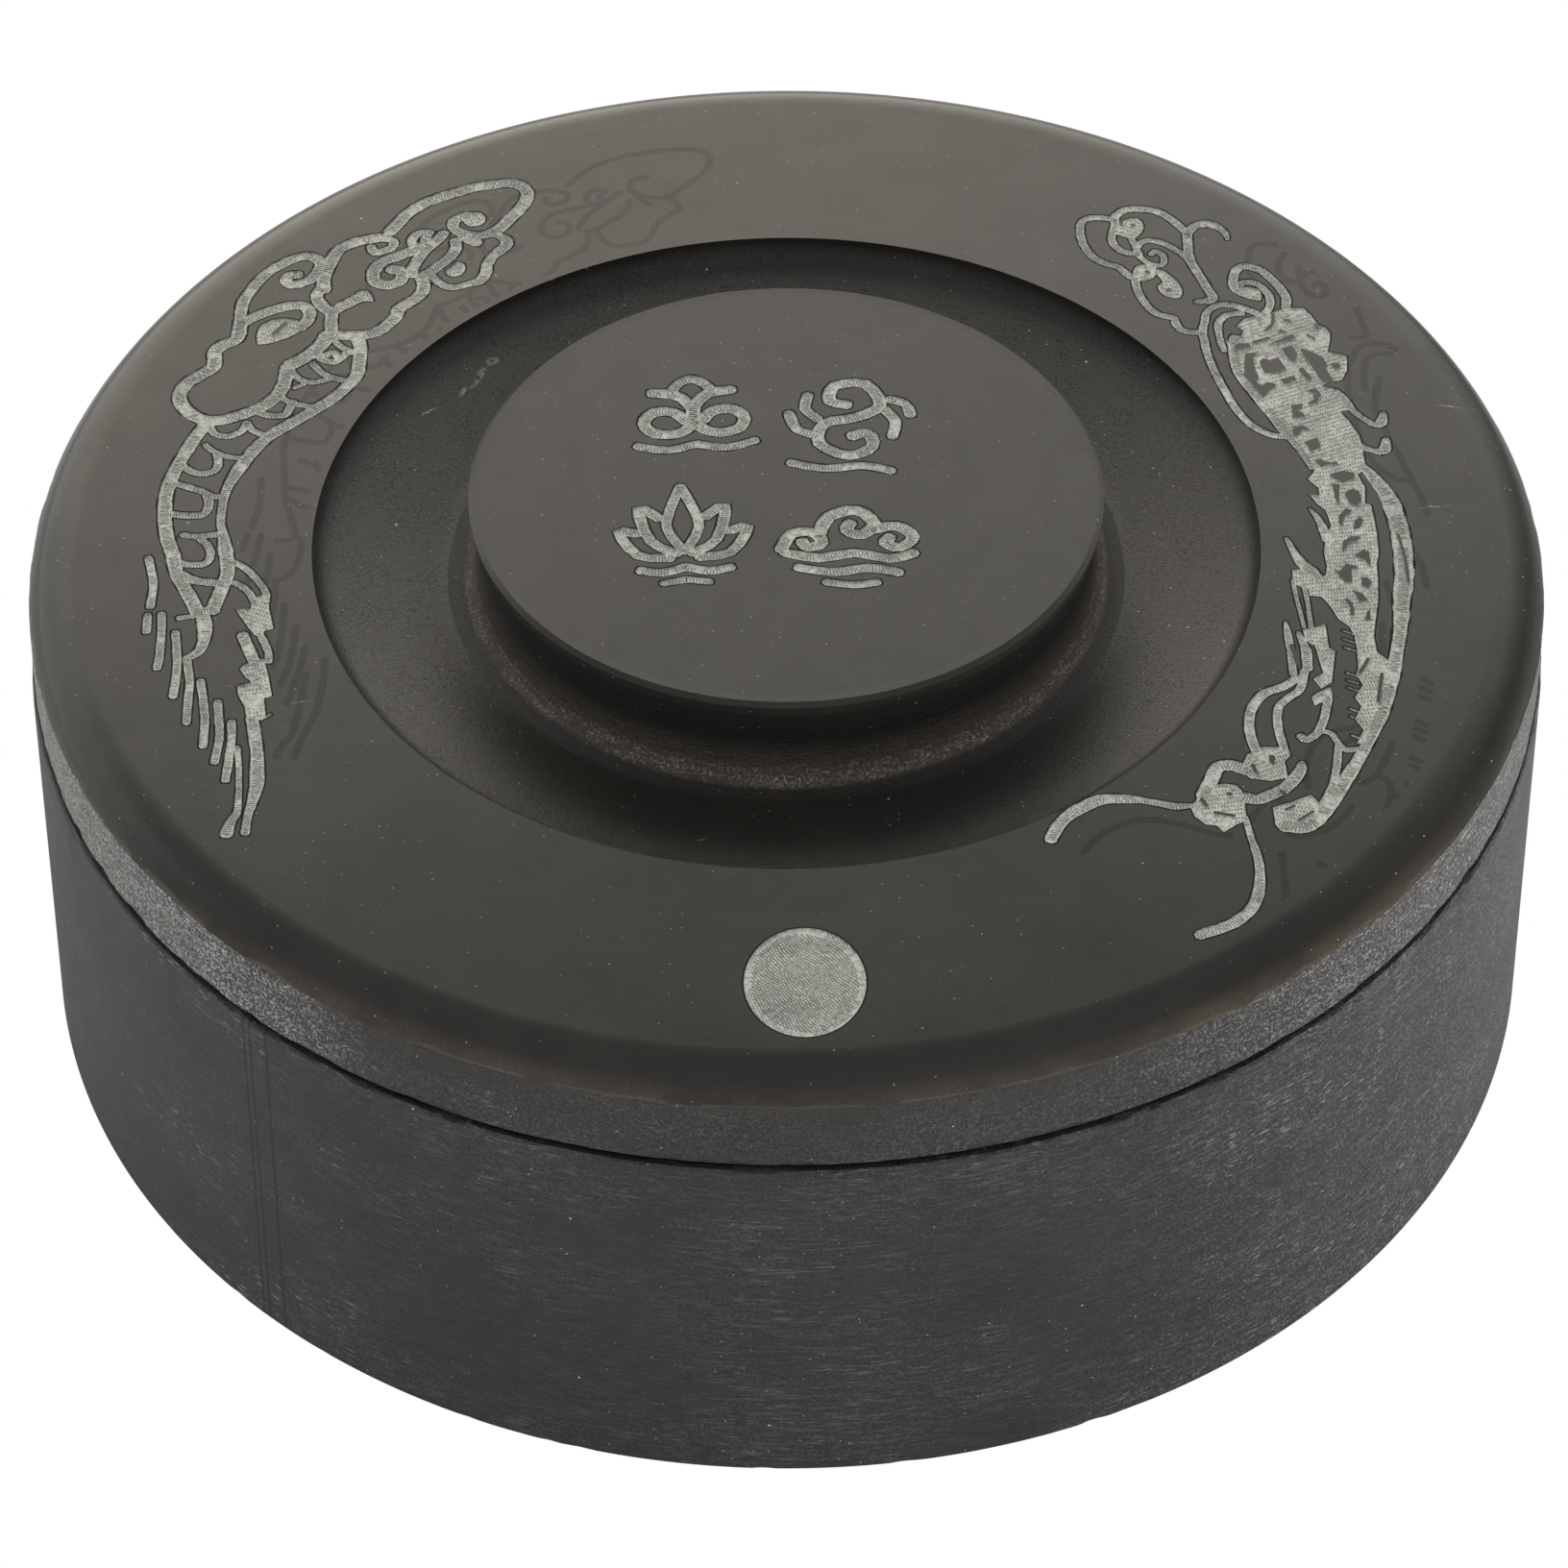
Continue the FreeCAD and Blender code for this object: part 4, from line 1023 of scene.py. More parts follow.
# The lid's rubbed top: dark and slightly shiny, with specks of dust and old marks, and a painted
# bronze glint along the front of the arris.
def makeTopMaterial(name, shineLevel):
    material, tree = newMaterial(name)
    turned = groupValues(tree, turnedGroup)
    marks = groupValues(tree, scuffGroup)
    radius = turned["Radius"]
    grain = remap(tree, turned["Grain"], 0.45, 0.75, 0.0, topFinish["grain"])
    stone = mottledStone(tree, turned, name)
    grained = mixColour(tree, grain, stone, topFinish["grainColour"])
    # Painted glint: a bronze-brown colour painted in speckled patches on the front of the arris,
    # standing in for highlights.
    nearEdge = remap(tree, radius, *zones["edge"], shape="SMOOTHSTEP")
    inFront = remap(tree, maths(tree, "ABSOLUTE", turned["Across"]), *zones["front"])
    arris = times(tree, nearEdge, inFront, remap(tree, turned["Mottle"], 0.36, 0.66, 0.1, 0.75))
    paintedBronzeHighlight = times(tree, arris, remap(tree, turned["Speckle"], 0.32, 0.66, 0.25, 1.0))
    withPaintedGlint = mixColour(tree, paintedBronzeHighlight, grained, topFinish["paintedArrisGlintColour"])
    dusted = dustOver(tree, turned, withPaintedGlint, topFinish["dust"])
    scuffs = times(tree, marks["Scuffs"], topFinish["scuffs"])
    scuffed = mixColour(tree, scuffs, dusted, dustColour)

    inTrough = times(tree, remap(tree, radius, *zones["pastKnob"]),
                     remap(tree, radius, *zones["withinTrough"]))
    dirt = times(tree, inTrough, remap(tree, turned["Cloud"], 0.36, 0.6, 0.35, 1.0))
    grime = times(tree, dirt, remap(tree, turned["Speckle"], 0.52, 0.4))
    pits = times(tree, turned["Pits"], inTrough)
    gloss = remap(tree, most(tree, grime, pits), 0.0, 1.0, shineLevel,
                  shineLevel * topFinish["dirtShine"])
    bevelRight = remap(tree, turned["Across"], *zones["bevelRight"], 0.0, topFinish["bevelDull"])
    bevelDull = times(tree, remap(tree, radius, *zones["bevel"]), bevelRight)
    troughRight = remap(tree, turned["Across"], *zones["troughRight"], 0.0,
                        topFinish["troughDull"])
    troughDull = times(tree, inTrough, troughRight)
    dull = most(tree, bevelDull, troughDull)
    clouded = times(tree, gloss, remap(tree, turned["Cloud"], 0.36, 0.64, 0.95, 1.05))
    shine = times(tree, clouded, maths(tree, "SUBTRACT", 1.0, dull))

    specks = times(tree, turned["Specks"], topFinish["speckHeight"])
    gritty = times(tree, turned["Speckle"], inTrough, topFinish["troughHeight"])
    height = plus(tree, plus(tree, turned["Grain"], specks), gritty)
    rough = remap(tree, turned["Grain"], 0.3, 0.7, *topFinish["roughness"])
    worn = plus(tree, rough, times(tree, turned["Mottle"], topFinish["mottleRoughness"]))
    rougher = plus(tree, worn, times(tree, inTrough, topFinish["troughRoughness"]))
    addSurface(tree, scuffed, rougher, addBump(tree, height, topFinish["bump"]), shine)
    return material


# Both sides: factors that make the pale, the fleck and the black colour, and parts of colours.
sideFinish = dict(pale=4.0, fleck=2.6, black=0.3, sawLines=0.8, dust=0.65, roughness=(0.42, 0.6))


# Sawn and brushed stone of the sides. The streaks run round the piece; blasted stone is more
# speckled. powder sets how much paler the stone is painted towards its left end and its right
# end, a painted sheen.
def makeSideMaterial(name, streaks, speckle, depth, powder):
    material, tree = newMaterial(name)
    turned = groupValues(tree, turnedGroup)
    stone = mottledStone(tree, turned, name)
    dark, light = stoneColours[name]
    pale = scaledColour(light, sideFinish["pale"])
    black = scaledColour(dark, sideFinish["black"])
    patchy = remap(tree, turned["Patches"], 0.38, 0.62, 0.35, 1.6)
    streak = times(tree, remap(tree, turned["Streaks"], 0.54, 0.7, 0.0, streaks), patchy)
    brushed = mixColour(tree, streak, stone, pale)
    shade = remap(tree, turned["Streaks"], 0.48, 0.32, 0.0, streaks)
    shaded = mixColour(tree, shade, brushed, black)
    chalky = times(tree, remap(tree, turned["Speckle"], 0.5, 0.68, 0.0, speckle), patchy)
    blasted = mixColour(tree, chalky, shaded, pale)
    pitting = remap(tree, turned["Speckle"], 0.44, 0.3, 0.0, speckle)
    pitted = mixColour(tree, pitting, blasted, black)

    across = turned["Across"]
    # The pale flecks are real, but they are painted brighter towards the sides as a painted
    # sparkle.
    sparkleAside = remap(tree, maths(tree, "ABSOLUTE", across), *zones["sparkleAside"], 0.12, 1.0)
    bright = times(tree, turned["Flecks"], sparkleAside,
                   remap(tree, turned["Patches"], 0.49, 0.6, 0.04, 0.9))
    flecked = mixColour(tree, bright, pitted, scaledColour(pale, sideFinish["fleck"]))
    # Painted sheen: the stone is painted paler towards its left and right ends, broken up in
    # specks.
    paintedLightBreakup = times(tree, remap(tree, turned["Speckle"], 0.5, 0.66, 0.04, 1.9),
                    remap(tree, turned["Streaks"], 0.42, 0.6, 0.25, 1.5))
    leftEnd = remap(tree, across, *zones["leftEnd"], 0.0, powder[0])
    rightEnd = remap(tree, across, *zones["rightEnd"], 0.0, powder[1])
    ends = maths(tree, "MINIMUM", times(tree, most(tree, leftEnd, rightEnd), paintedLightBreakup), 1.0)
    withPaintedSheen = mixColour(tree, ends, flecked, paintedSheenColour)
    sawLines = times(tree, turned["SawLines"], sideFinish["sawLines"])
    sawn = mixColour(tree, sawLines, withPaintedSheen, black)
    dusted = dustOver(tree, turned, sawn, sideFinish["dust"])

    rough = remap(tree, turned["Streaks"], 0.3, 0.7, *sideFinish["roughness"])
    height = plus(tree, times(tree, turned["Streaks"], streaks),
                  times(tree, turned["Speckle"], speckle))
    addSurface(tree, dusted, rough, addBump(tree, height, depth))
    return material


# The fillet at the foot of the knob, left as the tool cut it: dark, with a painted highlight band
# down the neck and a painted glint line at its foot, standing in for reflections. neckTop and
# neckFoot are distances below the top of the lid, in millimetres.
footFinish = dict(
    neckTop=3.2, neckFoot=5.9, glintLineAbove=0.3, glintLineBelow=0.1, neckPaintedGlint=0.4, dust=0.7,
    paintedFootGlintColour=(0.36, 0.31, 0.25, 1), roughness=0.34, bump=0.00012,
)


def makeFootMaterial(name):
    material, tree = newMaterial(name)
    turned = groupValues(tree, turnedGroup)
    height = turned["Height"]
    neckTop = lidTop - footFinish["neckTop"]
    neckFoot = lidTop - footFinish["neckFoot"]
    outside = remap(tree, turned["Radius"], *zones["withinFoot"], shape="SMOOTHSTEP")
    # The band is a painted highlight down the neck; the line is a painted glint at the neck's foot.
    band = times(tree, remap(tree, height, neckTop, neckFoot, shape="SMOOTHSTEP"), outside)
    line = times(tree, remap(tree, height, neckFoot + footFinish["glintLineAbove"],
                             neckFoot - footFinish["glintLineBelow"]), outside)
    glintSpecks = remap(tree, turned["Speckle"], 0.48, 0.64)
    paintedLightBreakup = remap(tree, turned["Streaks"], 0.4, 0.58, 0.05, 1.0)
    paintedNeckGlint = times(tree, band, footFinish["neckPaintedGlint"])
    amount = times(tree, most(tree, line, paintedNeckGlint), glintSpecks, paintedLightBreakup)
    paintedBronzeHighlight = mixColour(tree, band, *stoneColours[name])
    colour = mixColour(tree, amount, paintedBronzeHighlight, footFinish["paintedFootGlintColour"])
    dusted = dustOver(tree, turned, colour, footFinish["dust"])
    rise = plus(tree, turned["Streaks"], turned["Speckle"])
    addSurface(tree, dusted, footFinish["roughness"], addBump(tree, rise, footFinish["bump"]))
    return material


# Pale crushed stone in the cuts, with the hatching over it.
def makeEngravedMaterial(name, share):
    material, tree = newMaterial(name)
    marks = groupValues(tree, hatchGroup)
    deep, pale = stoneColours[name]
    hatched = mixColour(tree, times(tree, marks["Hatch"], share), pale, deep)
    powder = mixColour(tree, remap(tree, marks["Powder"], 0.42, 0.66, 0.0, 0.8), hatched, deep)
    addSurface(tree, powder, 0.85, addBump(tree, marks["Hatch"], 0.00003, 0.6))
    return material


# Dark stone along the cuts: a painted shadow outline round each cut.
def makeCutShadowMaterial(name):
    material, tree = newMaterial(name)
    speckle = groupValues(tree, turnedGroup)["Speckle"]
    colour = mixColour(tree, speckle, *stoneColours[name])
    addSurface(tree, colour, 0.6, addBump(tree, speckle, 0.00002), shine=0.12)
    return material


turnedGroup = makeTurnedGroup()
scuffGroup = makeScuffGroup()
hatchGroup = makeHatchGroup()
topMaterial = makeTopMaterial("rubbedStone", 0.5)
ghostMaterial = makeTopMaterial("ghostStone", 0.41)
lidSideMaterial = makeSideMaterial("blastedStone", streaks=0.4, speckle=0.7, depth=0.00007,
                                   powder=(2.8, 0.65))
baseMaterial = makeSideMaterial("brushedStone", streaks=0.75, speckle=0.45, depth=0.00009,
                                powder=(0.03, 0.2))
footMaterial = makeFootMaterial("knobFootStone")
cutShadowMaterial = makeCutShadowMaterial("cutShadowStone")
cutMaterial = makeEngravedMaterial("engravedStone", 0.75)
ridgeMaterial = makeEngravedMaterial("engravedRidges", 0.8)
print("materials made")

# The lid

# Chips are (count, depth, lift). aboveSeam and belowArris place extra rings on the side.
lid = dict(
    radius=50.0, bevelWidth=1.8, bevelDrop=1.9, bevelCurve=5.0, rimFall=0.4,
    troughRadius=31.27, wallRun=1.47, wallDrop=1.5, wallCurve=1.9, troughDepth=2.8,
    footFillet=2.0, neckRadius=20.4, neckCurve=9.0, knobRadius=20.85, knobLand=0.6,
    knobHeight=4.36, knobBevel=0.3,
    recessRadius=44.75, recessHeight=2.5, recessCorner=0.8,
    rebateDepth=1.0, rebateHeight=0.21, seamWear=0.18, shoulderBlend=1.5,
    cutDepth=0.1, cutWidening=1.12, edgeWidth=0.11, ghostInside=0.4, ghostOutside=0.6,
    aboveSeam=0.4, belowArris=(0.6, 0.2),
    bevelSteps=10, bevelKept=5, shoulderSteps=12, wallSteps=9, floorSteps=6, footSteps=8,
    lowerChips=(160, 0.12, 0.7), innerChips=(90, 0.12, 0.5), arrisChips=(200, 0.07, -0.5),
    seed=11,
)
plateHeight = lidTop - lid["knobHeight"]
shoulder = lid["radius"] - lid["bevelWidth"]
ringSlope = lid["rimFall"] / (shoulder - lid["troughRadius"])


# The top of the ring between the trough and the bevel.
def ringTop(x, y):
    return plateHeight - ringSlope * (math.hypot(x, y) - lid["troughRadius"])


def knobFlat(x, y):
    return lidTop


# Profile from the middle of the recess, out and up to the inner end of the rounded shoulder.
# The slots give a material for each band.
def lidOutside(ringEdge):
    radius = lid["radius"]
    recess = lid["recessRadius"]
    corner = lid["recessCorner"]
    roof = lidSeat + lid["recessHeight"]
    rebate = radius - lid["rebateDepth"]
    lowerEdge = lidSeat + lid["rebateHeight"]
    wear = lid["seamWear"]
    shoulderHeight = plateHeight - lid["rimFall"]
    arris = shoulderHeight - lid["bevelDrop"]
    points = [
        (recess - corner, roof), (recess, roof - corner), (recess, lidSeat), (rebate, lidSeat),
        (rebate, lowerEdge), (radius - wear, lowerEdge), (radius, lowerEdge + wear),
    ]
    lowerRing = len(points) - 1
    points.append((radius, lowerEdge + wear + lid["aboveSeam"]))
    points.append((radius, (lidSeat + arris) / 2))
    points += [(radius, arris - below) for below in lid["belowArris"]]
    arrisRing = len(points)
    bevel = arcPoints((radius, arris), (shoulder, shoulderHeight), lid["bevelCurve"], 1,
                      lid["bevelSteps"])
    points += bevel[:lid["bevelKept"] + 1]
    start = Vector(points[-1])
    bend = Vector(bevel[-1])
    finish = Vector((ringEdge, ringTop(ringEdge, 0)))
    for k in range(1, lid["shoulderSteps"] + 1):
        t = k / lid["shoulderSteps"]
        points.append(tuple(start * (1 - t) ** 2 + bend * 2 * t * (1 - t) + finish * t**2))
    slots = [sideSlot if i < arrisRing else 0 for i in range(len(points) - 1)]
    return points, slots, lowerRing, arrisRing


# Profile of the trough and the knob, from the ring inwards, with a material for each band.
def lidInside():
    low = plateHeight - lid["troughDepth"]
    fillet = lid["footFillet"]
    knob = lid["knobRadius"]
    wallFoot = (lid["troughRadius"] - lid["wallRun"], plateHeight - lid["wallDrop"])
    footStart = (lid["neckRadius"] + fillet, low)
    footEnd = (lid["neckRadius"], low + fillet)
    points = arcPoints((lid["troughRadius"], plateHeight), wallFoot, lid["wallCurve"], -1,
                       lid["wallSteps"])
    for k in range(1, lid["floorSteps"]):
        t = k / lid["floorSteps"]
        points.append((wallFoot[0] + (footStart[0] - wallFoot[0]) * t,
                       wallFoot[1] + (low - wallFoot[1]) * t))
    footFrom = len(points)
    points += arcPoints(footStart, footEnd, fillet, -1, lid["footSteps"])
    points += arcPoints(footEnd, (knob, lidTop - lid["knobLand"]), lid["neckCurve"], -1,
                        lid["footSteps"])[1:]
    footTo = len(points) - 2
    points += [(knob, lidTop - lid["knobBevel"]), (knob - lid["knobBevel"], lidTop)]
    slots = [footSlot if footFrom <= i < footTo else 0 for i in range(len(points) - 1)]
    return points, slots


# Everything that is cut into the ring, and the faint darker copy of the drawing beside it.
def ringShapes(ringEdge, rng):
    clouds = [smoothLine(outline, 2, closed=True) for outline in cloudLeftFills + cloudRightFills]
    fills = clouds + tailLeftFills + bodyRightFills + [dotOutline]
    shapes = cutShapes(widened(ringStrokes, lid["cutWidening"]), fills, rng, lid["edgeWidth"])
    for width, points in cloudLeftIslands + cloudRightIslands + bodyRightIslands:
        shapes += [("island", triangle) for triangle in ribbon(points, width, rng)]
    shapes += [("island", outline) for outline in bodyRightIslandFills]
    inner = lid["troughRadius"] + lid["ghostInside"]
    outer = ringEdge - lid["ghostOutside"]
    for triangle in shiftedCopy(ringStrokes, rng):
        if all(inner < p.length < outer for p in triangle):
            shapes.append(("ghost", triangle))
    return shapes


def makeLid():
    shell = Shell()
    rng = random.Random(lid["seed"])
    ringEdge = shoulder - lid["shoulderBlend"]
    points, slots, lowerRing, arrisRing = lidOutside(ringEdge)
    outer = shell.lathe(points, slots)
    shell.disc(outer[0], points[0][1], down=True, material=sideSlot)
    shell.chip(outer[lowerRing], rng, *lid["lowerChips"])
    shell.chip(outer[lowerRing - 1], rng, *lid["innerChips"])
    shell.chip(outer[arrisRing], rng, *lid["arrisChips"])
    inner = shell.lathe(*lidInside())
    ringRims = [(outer[-1], ringEdge), (inner[0], lid["troughRadius"])]
    cutSurface(shell, ringRims, ringShapes(ringEdge, rng), ringTop, lid["cutDepth"])
    knobRims = [(inner[-1], lid["knobRadius"] - lid["knobBevel"])]
    knobShapes = cutShapes(knobStrokes(), [], rng, lid["edgeWidth"])
    cutSurface(shell, knobRims, knobShapes, knobFlat, lid["cutDepth"])
    materials = [topMaterial, cutMaterial, footMaterial, lidSideMaterial, cutShadowMaterial,
                 ghostMaterial]
    return shell.build("lidStone", materials, sharpAngle=28)


# The ridges in the cuts. share is a ridge's part of its cut's width. The rows lie in the
# filled shapes; the round mark has wider and closer rows.
hatch = dict(
    spacing=0.2, thickness=0.07, height=0.03, tilt=0.3, cover=0.42, patch=0.6, share=0.6, seed=3,
    rowSpacing=0.36, rowWidth=0.26, rowAngle=0.45, rowTurn=-0.3, rowTurns=4,
    dotCover=0.1, dotRim=0.25, dotSpacing=0.7, dotWidening=1.5, dotAngle=0.81,
)


# Fine ridges left by the graver, set in patches across each cut along its path.
def makeHatchTree(material):
    tree = bpy.data.node_groups.new("ridgesAlongCuts", "GeometryNodeTree")
    names = ("Spacing", "Thickness", "Height", "Tilt", "Cover", "Patch")
    addSockets(tree, "INPUT", [("Geometry", "Geometry")])
    inputs = addSockets(tree, "INPUT", [(name, "Float") for name in names] + [("Seed", "Int")])
    addSockets(tree, "OUTPUT", [("Geometry", "Geometry")])
    given = tree.nodes.new("NodeGroupInput").outputs
    curve = makeNode(tree, "GeometryNodeMeshToCurve", {0: given["Geometry"]}).outputs[0]
    links = {"Curve": curve, "Length": given["Spacing"]}
    walk = makeNode(tree, "GeometryNodeCurveToPoints", links, mode="LENGTH").outputs
    facing = makeNode(tree, "FunctionNodeAlignRotationToVector", {"Vector": walk["Tangent"]},
                      axis="X", pivot_axis="Z").outputs[0]
    links = {"Min": times(tree, given["Tilt"], -1.0), "Max": given["Tilt"], "Seed": given["Seed"]}
    lean = makeNode(tree, "FunctionNodeRandomValue", links, data_type="FLOAT").outputs["Value"]
    leaning = makeNode(tree, "ShaderNodeCombineXYZ", {2: lean}).outputs[0]
    turn = makeNode(tree, "FunctionNodeEulerToRotation", {0: leaning}).outputs[0]
    rotation = makeNode(tree, "FunctionNodeRotateRotation", {0: facing, 1: turn}).outputs[0]
    place = makeNode(tree, "GeometryNodeInputPosition").outputs[0]
    patches = noise(tree, stretched(tree, place, (1 / mm,) * 3), given["Patch"], 1.0)
    chosen = makeNode(tree, "FunctionNodeCompare", {0: patches, 1: given["Cover"]},
                      operation="GREATER_THAN").outputs[0]
    width = makeNode(tree, "GeometryNodeInputNamedAttribute", {"Name": "cutWidth"},
                     data_type="FLOAT").outputs[0]
    links = {0: given["Thickness"], 1: width, 2: given["Height"]}
    size = makeNode(tree, "ShaderNodeCombineXYZ", links).outputs[0]
    ridge = makeNode(tree, "GeometryNodeMeshCube", {"Size": (1.0, 1.0, 1.0)}).outputs[0]
    links = {"Points": walk["Points"], "Selection": chosen, "Instance": ridge,
             "Rotation": rotation, "Scale": size}
    placed = makeNode(tree, "GeometryNodeInstanceOnPoints", links).outputs[0]
    real = makeNode(tree, "GeometryNodeRealizeInstances", {0: placed}).outputs[0]
    made = makeNode(tree, "GeometryNodeSetMaterial", {0: real, "Material": material}).outputs[0]
    makeNode(tree, "NodeGroupOutput", {0: made})
    return tree, inputs


# The middle lines of a set of strokes on the floor of the cuts, with the width of the ridges.
def makePaths(name, strokes, heightAt):
    points = []
    edges = []
    widths = []
    for width, corners in strokes:
        line = strokeLine(corners, width)
        first = len(points)
        for x, y, w in line:
            points.append((x * mm, y * mm, (heightAt(x, y) - lid["cutDepth"]) * mm))
            widths.append(w * hatch["share"] * mm)
        edges.extend((first + i, first + i + 1) for i in range(len(line) - 1))
    mesh = bpy.data.meshes.new(name)
    mesh.from_pydata(points, edges, [])
    mesh.attributes.new("cutWidth", "FLOAT", "POINT").data.foreach_set("value", widths)
    return addToScene(name, mesh)


# Ridges for a set of strokes, as one plain mesh.
def makeHatch(name, strokes, heightAt, cover):
    paths = makePaths(name + "Paths", strokes, heightAt)
    tree, inputs = makeHatchTree(ridgeMaterial)
    modifier = paths.modifiers.new("ridges", "NODES")
    modifier.node_group = tree
    sizes = {
        "Spacing": hatch["spacing"] * mm, "Thickness": hatch["thickness"] * mm,
        "Height": hatch["height"] * mm, "Tilt": hatch["tilt"], "Cover": cover,
        "Patch": hatch["patch"], "Seed": hatch["seed"],
    }
    for key, value in sizes.items():
        modifier[inputs[key].identifier] = value
    evaluated = paths.evaluated_get(bpy.context.evaluated_depsgraph_get())
    plain = bpy.data.meshes.new_from_object(evaluated)
    paths.modifiers.remove(modifier)
    bpy.data.objects.remove(paths)
    return addToScene(name, plain)


def fillRows():
    rows = []
    outlines = bodyRightFills + cloudRightFills + cloudLeftFills + tailLeftFills
    for number, outline in enumerate(outlines):
        angle = hatch["rowAngle"] + hatch["rowTurn"] * (number % hatch["rowTurns"])
        rows += rowsAcross(outline, hatch["rowSpacing"], hatch["rowWidth"], angle)
    return rows


def dotRows():
    spacing = hatch["rowSpacing"] * hatch["dotSpacing"]
    width = hatch["rowWidth"] * hatch["dotWidening"]
    return rowsAcross(grown(dotOutline, -hatch["dotRim"]), spacing, width, hatch["dotAngle"])


lidPiece = makeLid()
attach(lidPiece, "lid")
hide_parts("lid_stone")
print("lid made", len(lidPiece.data.polygons))

ringRows = widened(ringStrokes, lid["cutWidening"]) + fillRows()
for name, strokes, heightAt, cover in (
    ("ringHatch", ringRows, ringTop, hatch["cover"]),
    ("knobHatch", knobStrokes(), knobFlat, hatch["cover"]),
    ("dotHatch", dotRows(), ringTop, hatch["dotCover"]),
):
    ridges = makeHatch(name, strokes, heightAt, cover)
    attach(ridges, "lid")
    print("ridges made", name, len(ridges.data.polygons))

# The base

# Chips are (count, depth, lift). footRing and upperRing count the points of the profile.
base = dict(
    radius=50.2, footBevel=0.5, seatWidth=5.8, lipWidth=3.6, lipHeight=2.0, lipBevel=0.6,
    bevelRounding=0.3, wellDepth=6.5, floorFall=1.5, wellCorner=2.0,
    poolDepth=7.0, poolRun=9.0, poolRadius=70.0, poolSetback=23.0, poolEasing=0.35,
    rebateDepth=1.2, rebateHeight=0.1, seamWear=0.14, aboveFoot=0.4, belowSeam=0.5,
    footChips=(40, 0.07, 0.4), upperChips=(160, 0.12, -0.8), innerChips=(90, 0.12, -0.5),
    footRing=1, upperRing=6, cornerSteps=6, floorRings=44, seed=23,
)


# Profile from the underside, out, up and in over the lip to the top of the well's wall.
def baseProfile(lipTop, lipRadius, wellRadius):
    outer = base["radius"]
    seat = lipTop - base["lipHeight"]
    upperEdge = seat - base["rebateHeight"]
    wear = base["seamWear"]
    foot = base["footBevel"]
    rebate = outer - base["rebateDepth"]
    bevel = base["lipBevel"]
    part = bevel * base["bevelRounding"]
    return [
        (outer - foot, 0.0), (outer, foot), (outer, foot + base["aboveFoot"]),
        (outer, seat / 3), (outer, 2 * seat / 3), (outer, upperEdge - wear - base["belowSeam"]),
        (outer, upperEdge - wear), (outer - wear, upperEdge), (rebate, upperEdge), (rebate, seat),
        (lipRadius, seat), (lipRadius, lipTop - bevel), (lipRadius - part, lipTop - part),
        (lipRadius - bevel, lipTop), (wellRadius + bevel, lipTop),
        (wellRadius + part, lipTop - part), (wellRadius, lipTop - bevel),
    ]


def makeBase():
    lipTop = baseBox[1][2] / mm
    lipRadius = base["radius"] - base["seatWidth"]
    wellRadius = lipRadius - base["lipWidth"]
    floorFront = lipTop - base["wellDepth"]
    setback = base["poolRadius"] - base["poolSetback"]

    # The grinding floor, its slope to the pool and the pool's bottom.
    def floorHeight(x, y):
        reach = math.hypot(x, y + setback)
        grinding = floorFront - base["floorFall"] * min(reach / base["poolRadius"], 1.0)
        along = min(max((reach - base["poolRadius"]) / base["poolRun"], 0.0), 1.0)
        easing = base["poolEasing"]
        eased = along * along * (3 - 2 * along) * easing + along * (1 - easing)
        return grinding - base["poolDepth"] * eased

    shell = Shell()
    rings = shell.lathe(baseProfile(lipTop, lipRadius, wellRadius))
    shell.disc(rings[0], 0.0, down=True)
    rng = random.Random(base["seed"])
    upperRing = base["upperRing"]
    shell.chip(rings[base["footRing"]], rng, *base["footChips"])
    shell.chip(rings[upperRing], rng, *base["upperChips"])
    shell.chip(rings[upperRing + 1], rng, *base["innerChips"])

    # Rings of the well's rounded corner and its floor, as (radius, radius on the floor, rise).
    corner = base["wellCorner"]
    floorRadius = wellRadius - corner
    steps = []
    for k in range(base["cornerSteps"] + 1):
        turn = math.pi / 2 * k / base["cornerSteps"]
        radius = wellRadius - corner * (1 - math.cos(turn))
        steps.append((radius, floorRadius, corner * (1 - math.sin(turn))))
    for k in range(1, base["floorRings"]):
        radius = floorRadius * (1 - k / base["floorRings"])
        steps.append((radius, radius, 0.0))
    previous = rings[-1]
    for radius, foot, rise in steps:
        ring = []
        for k in range(roundSteps):
            height = floorHeight(*circlePoint(foot, k)) + rise
            ring.append(shell.add(*circlePoint(radius, k), height))
        shell.band(previous, ring, 1)
        previous = ring
    shell.disc(previous, floorHeight(0, 0), material=1)
    return shell.build("baseStone", [baseMaterial, topMaterial], sharpAngle=35)


basePiece = makeBase()
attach(basePiece, "base")
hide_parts("base_stone")
print("base made", len(basePiece.data.polygons))

# Stage, light and camera, in metres

studio = dict(
    floorSize=3.0,
    cameraAt=(-0.0002, -0.36047, 0.35574), cameraTilt=46.49, cameraRoll=-0.19,
    lens=167.65, sensor=36, nearest=0.01,
)
softboxes = [
    dict(name="tableGlowFront", place=(0.02, -0.27, 0.014), target=(0, 0, 0.016),
         size=(0.5, 0.025), power=0.31),
    dict(name="tableGlowLeft", place=(-0.27, -0.02, 0.014), target=(0, 0, 0.016),
         size=(0.3, 0.025), power=0.2),
    dict(name="tableGlowRight", place=(0.27, -0.02, 0.014), target=(0, 0, 0.016),
         size=(0.3, 0.025), power=0.62),
    dict(name="overheadFill", place=(0.1, -0.5, 0.9), target=(0, 0, 0.02),
         size=(0.8, 0.5), power=2),
]


